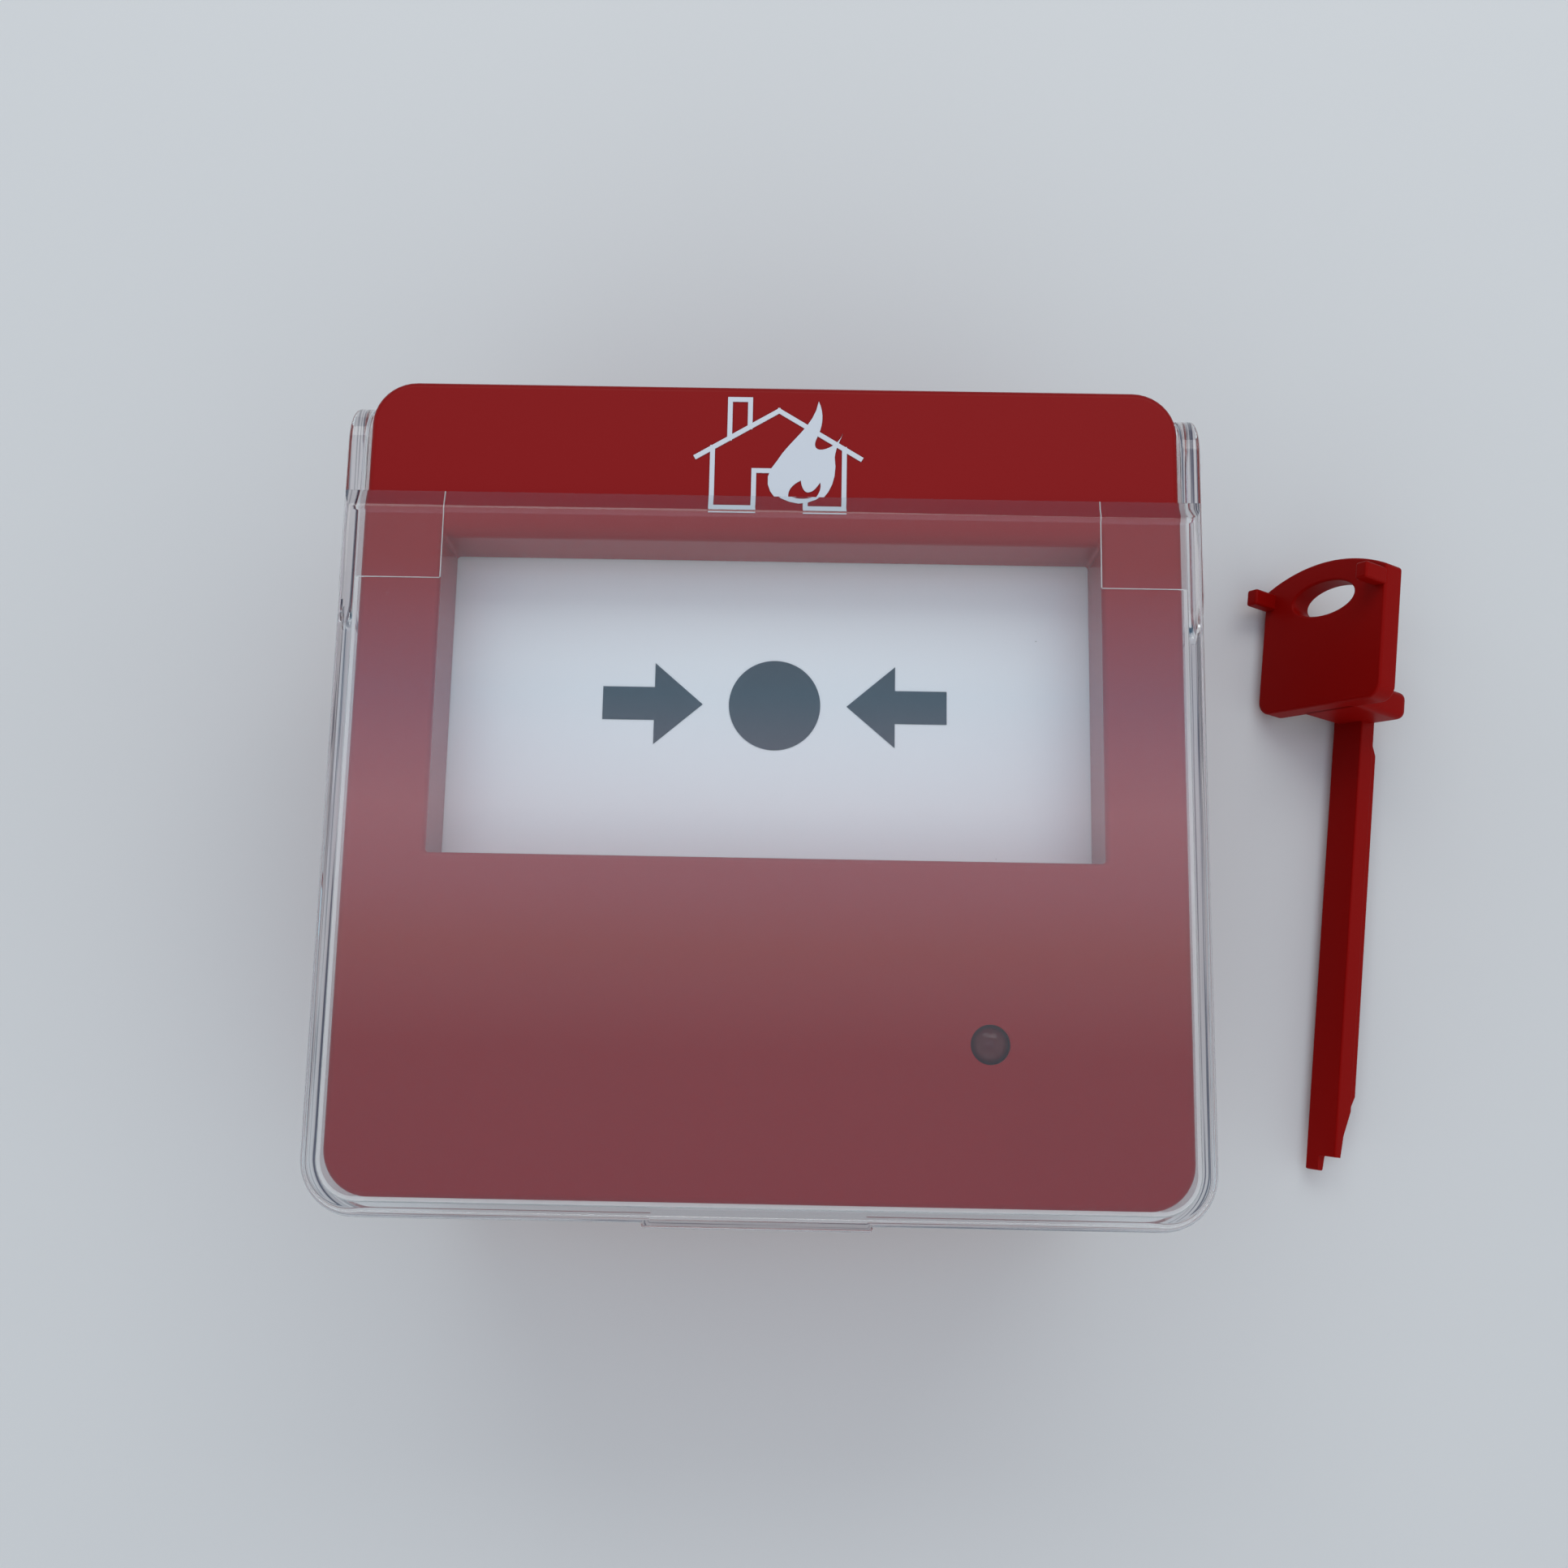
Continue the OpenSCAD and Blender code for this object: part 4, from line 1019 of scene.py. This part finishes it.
def make_key_blade():
    """The blade, drawn from the side; it thins to a wedge, and the tip is cut narrower."""
    bm = bmesh.new()
    tip, half = -blade_l, blade_t / 2
    side = [(shelf_t / 2, -half), (shelf_t / 2, half), (tip, half), (tip, half - tip_t),
            (tip + tip_l, half - 1.5), (tip + wedge_l, -half)]
    west = blade_x - blade_w / 2
    face = bm.faces.new([bm.verts.new((west, y, blade_z + z)) for y, z in side])
    thicken(bm, [face], (blade_w, 0, 0), 0.25)
    knife = bmesh.new()
    add_block(knife, (west + tip_w, tip - 1, blade_z - 3), (west + 9, tip + 2, blade_z + 3), 0.2)
    return combine(bm, knife)


def make_test_key():
    """Bow, shelf, prongs, blade and rib, rolled and turned to the way the key lies."""
    bm = make_key_blade()
    bow = mesh_of("bow", make_key_bow())
    bm.from_mesh(bow)
    bpy.data.meshes.remove(bow)
    add_block(bm, (-shelf_w / 2, 0, blade_z - blade_t / 2), (shelf_w / 2, shelf_t, 0.4), 1.1, 5)
    for side in (-1, 1):
        x, y = side * prong_x, bow_h - 1.7
        add_block(bm, (x - key_prong[0] / 2, y - key_prong[1] / 2, bow_t / 2 - 0.4),
                  (x + key_prong[0] / 2, y + key_prong[1] / 2, bow_t / 2 + key_prong[2]), 0.35, 3)
    rib_start, root = wedge_l - blade_l, blade_z - blade_t / 2
    rib = bm.faces.new([bm.verts.new((blade_x + blade_w / 2 - 0.1, y, z)) for y, z in (
        (rib_start, root + 0.3), (rib_start + 2, root - rib_proud),
        (rib_end - 2, root - rib_proud), (rib_end, root + 0.3))])
    thicken(bm, [rib], (-rib_across, 0, 0), 0.1, 2)
    low, high = box_mm("test_key")
    turn = Matrix.Rotation(-key_lean, 4, "Z") @ Matrix.Rotation(-key_roll, 4, "Y")
    bmesh.ops.transform(bm, matrix=turn, verts=list(bm.verts))
    drawn_low = Vector([min(v.co[i] for v in bm.verts) for i in range(3)])
    drawn_high = Vector([max(v.co[i] for v in bm.verts) for i in range(3)])
    bmesh.ops.translate(bm, vec=(low + high - drawn_low - drawn_high) / 2, verts=list(bm.verts))
    return bm


key_plastic = moulded_plastic("key plastic", paint(143, 8, 5), grain=3000, drift=0.08,
                              rough=0.42, spread=0.14, relief=0.12, dust=0.02, gloss=0.06)
finish_piece("key_moulding", make_test_key(), "key", key_plastic, ["test_key"])

# ----------------------------------------------------------------- table and light
# The call point lies on its back on a plain pale table. The room's cool ceiling gives most
# of the light, and one wide soft lamp beyond the header gives the rest.

def make_table():
    """A flat table top, 6 m across, level with the back of the box."""
    bm = bmesh.new()
    bmesh.ops.create_grid(bm, x_segments=2, y_segments=2, size=3.0)
    finish, tree, shader, place = start_finish("pale table")
    add_skin(tree, shader, place, colour=paint(224, 227, 228), grain_scale=900.0, drift=0.015,
             roughness=0.55, gloss_spread=0.05)
    shader.inputs["Specular IOR Level"].default_value = 0.3
    table = put_in_scene("table", mesh_of("table", bm))
    table.data.materials.append(finish)


make_table()


def soft_lamp(name, place, aim, size, power, colour):
    """A rectangular area lamp at one point that faces another."""
    light = bpy.data.lights.new(name, "AREA")
    light.shape, light.energy, light.color = "RECTANGLE", power, colour
    light.size, light.size_y = size
    lamp = put_in_scene(name, light)
    lamp.location = place
    lamp.rotation_euler = (Vector(aim) - Vector(place)).to_track_quat("-Z", "Y").to_euler()


soft_lamp("upper lamp", (0.05, 0.60, 0.62), (0.0, 0.0, 0.02), (1.0, 0.36), 2.3, (1.0, 0.99, 0.97))


def colour_ramp(tree, share, stops):
    """A run of colours along a share from 0 to 1, as (position, colour) from first to last."""
    node = add_node(tree, "ShaderNodeValToRGB")
    tree.links.new(share, node.inputs["Fac"])
    elements = node.color_ramp.elements
    for end, (position, colour) in zip(elements, (stops[0], stops[-1])):
        end.position, end.color = position, (*colour, 1)
    for position, colour in stops[1:-1]:
        elements.new(position).color = (*colour, 1)
    return node.outputs["Color"]


def make_room():
    """Plain room: a cool ceiling that is lightest beyond the header, and walls that go from
    light behind the camera to dark ahead of it. The low skirting is for reflections only."""
    room = bpy.data.worlds.new("room")
    room.use_nodes = True
    tree = room.node_tree
    coords = add_node(tree, "ShaderNodeTexCoord")
    split = add_node(tree, "ShaderNodeSeparateXYZ")
    tree.links.new(coords.outputs["Generated"], split.inputs["Vector"])
    ahead, up = split.outputs["Y"], split.outputs["Z"]
    ceiling = colour_ramp(
        tree, map_range(tree, calc(tree, "DIVIDE", ahead, up), -0.1, 0.4),
        ((0.0, (0.34, 0.47, 0.58)), (0.20, (0.38, 0.52, 0.62)), (0.28, (0.60, 0.70, 0.80)),
         (0.33, (0.75, 0.80, 0.88)), (0.41, (1.0, 1.02, 1.21)), (0.51, (1.28, 1.23, 1.46)),
         (0.60, (0.95, 1.1, 1.4)), (0.66, (0.66, 0.98, 1.3)), (0.76, (0.62, 0.75, 0.95)),
         (0.84, (0.56, 0.54, 0.62)), (1.0, (0.55, 0.50, 0.58))))
    walls = colour_ramp(
        tree, map_range(tree, ahead, 1.0, -1.0),
        ((0.0, (0.02, 0.06, 0.10)), (0.14, (0.04, 0.09, 0.13)), (0.24, (0.46, 0.46, 0.48)),
         (0.5, (0.76, 0.76, 0.76)), (1.0, (0.86, 0.88, 0.90))))
    path = add_node(tree, "ShaderNodeLightPath")
    skirting = map_range(tree, up, 0.15, 0.05, interpolation_type="SMOOTHSTEP")
    mirrored = calc(tree, "SUBTRACT", skirting, path.outputs["Is Camera Ray"], clamp=True)
    lower = mix_colours(tree, mirrored, walls, (0.12, 0.15, 0.20, 1))
    overhead = map_range(tree, up, 0.8, 0.93, interpolation_type="SMOOTHSTEP")
    background = tree.nodes["Background"]
    tree.links.new(mix_colours(tree, overhead, lower, ceiling), background.inputs["Color"])
    background.inputs["Strength"].default_value = 1.0
    bpy.context.scene.world = room


make_room()
bpy.context.scene.view_settings.view_transform = "Standard"

# -------------------------------------------------------------------------- camera
# Held in the hand above the lower edge of the front and tilted towards the header, with
# the wide lens that a telephone has.

camera = put_in_scene("camera", bpy.data.cameras.new("camera"))
camera.data.lens, camera.data.sensor_width = 36.0, 36.0
camera.data.clip_start = 0.01
camera.location = (0.0034, -0.0297, 0.2194)
camera.rotation_euler = (math.radians(9.72), math.radians(0.31), math.radians(1.07))
bpy.context.scene.camera = camera
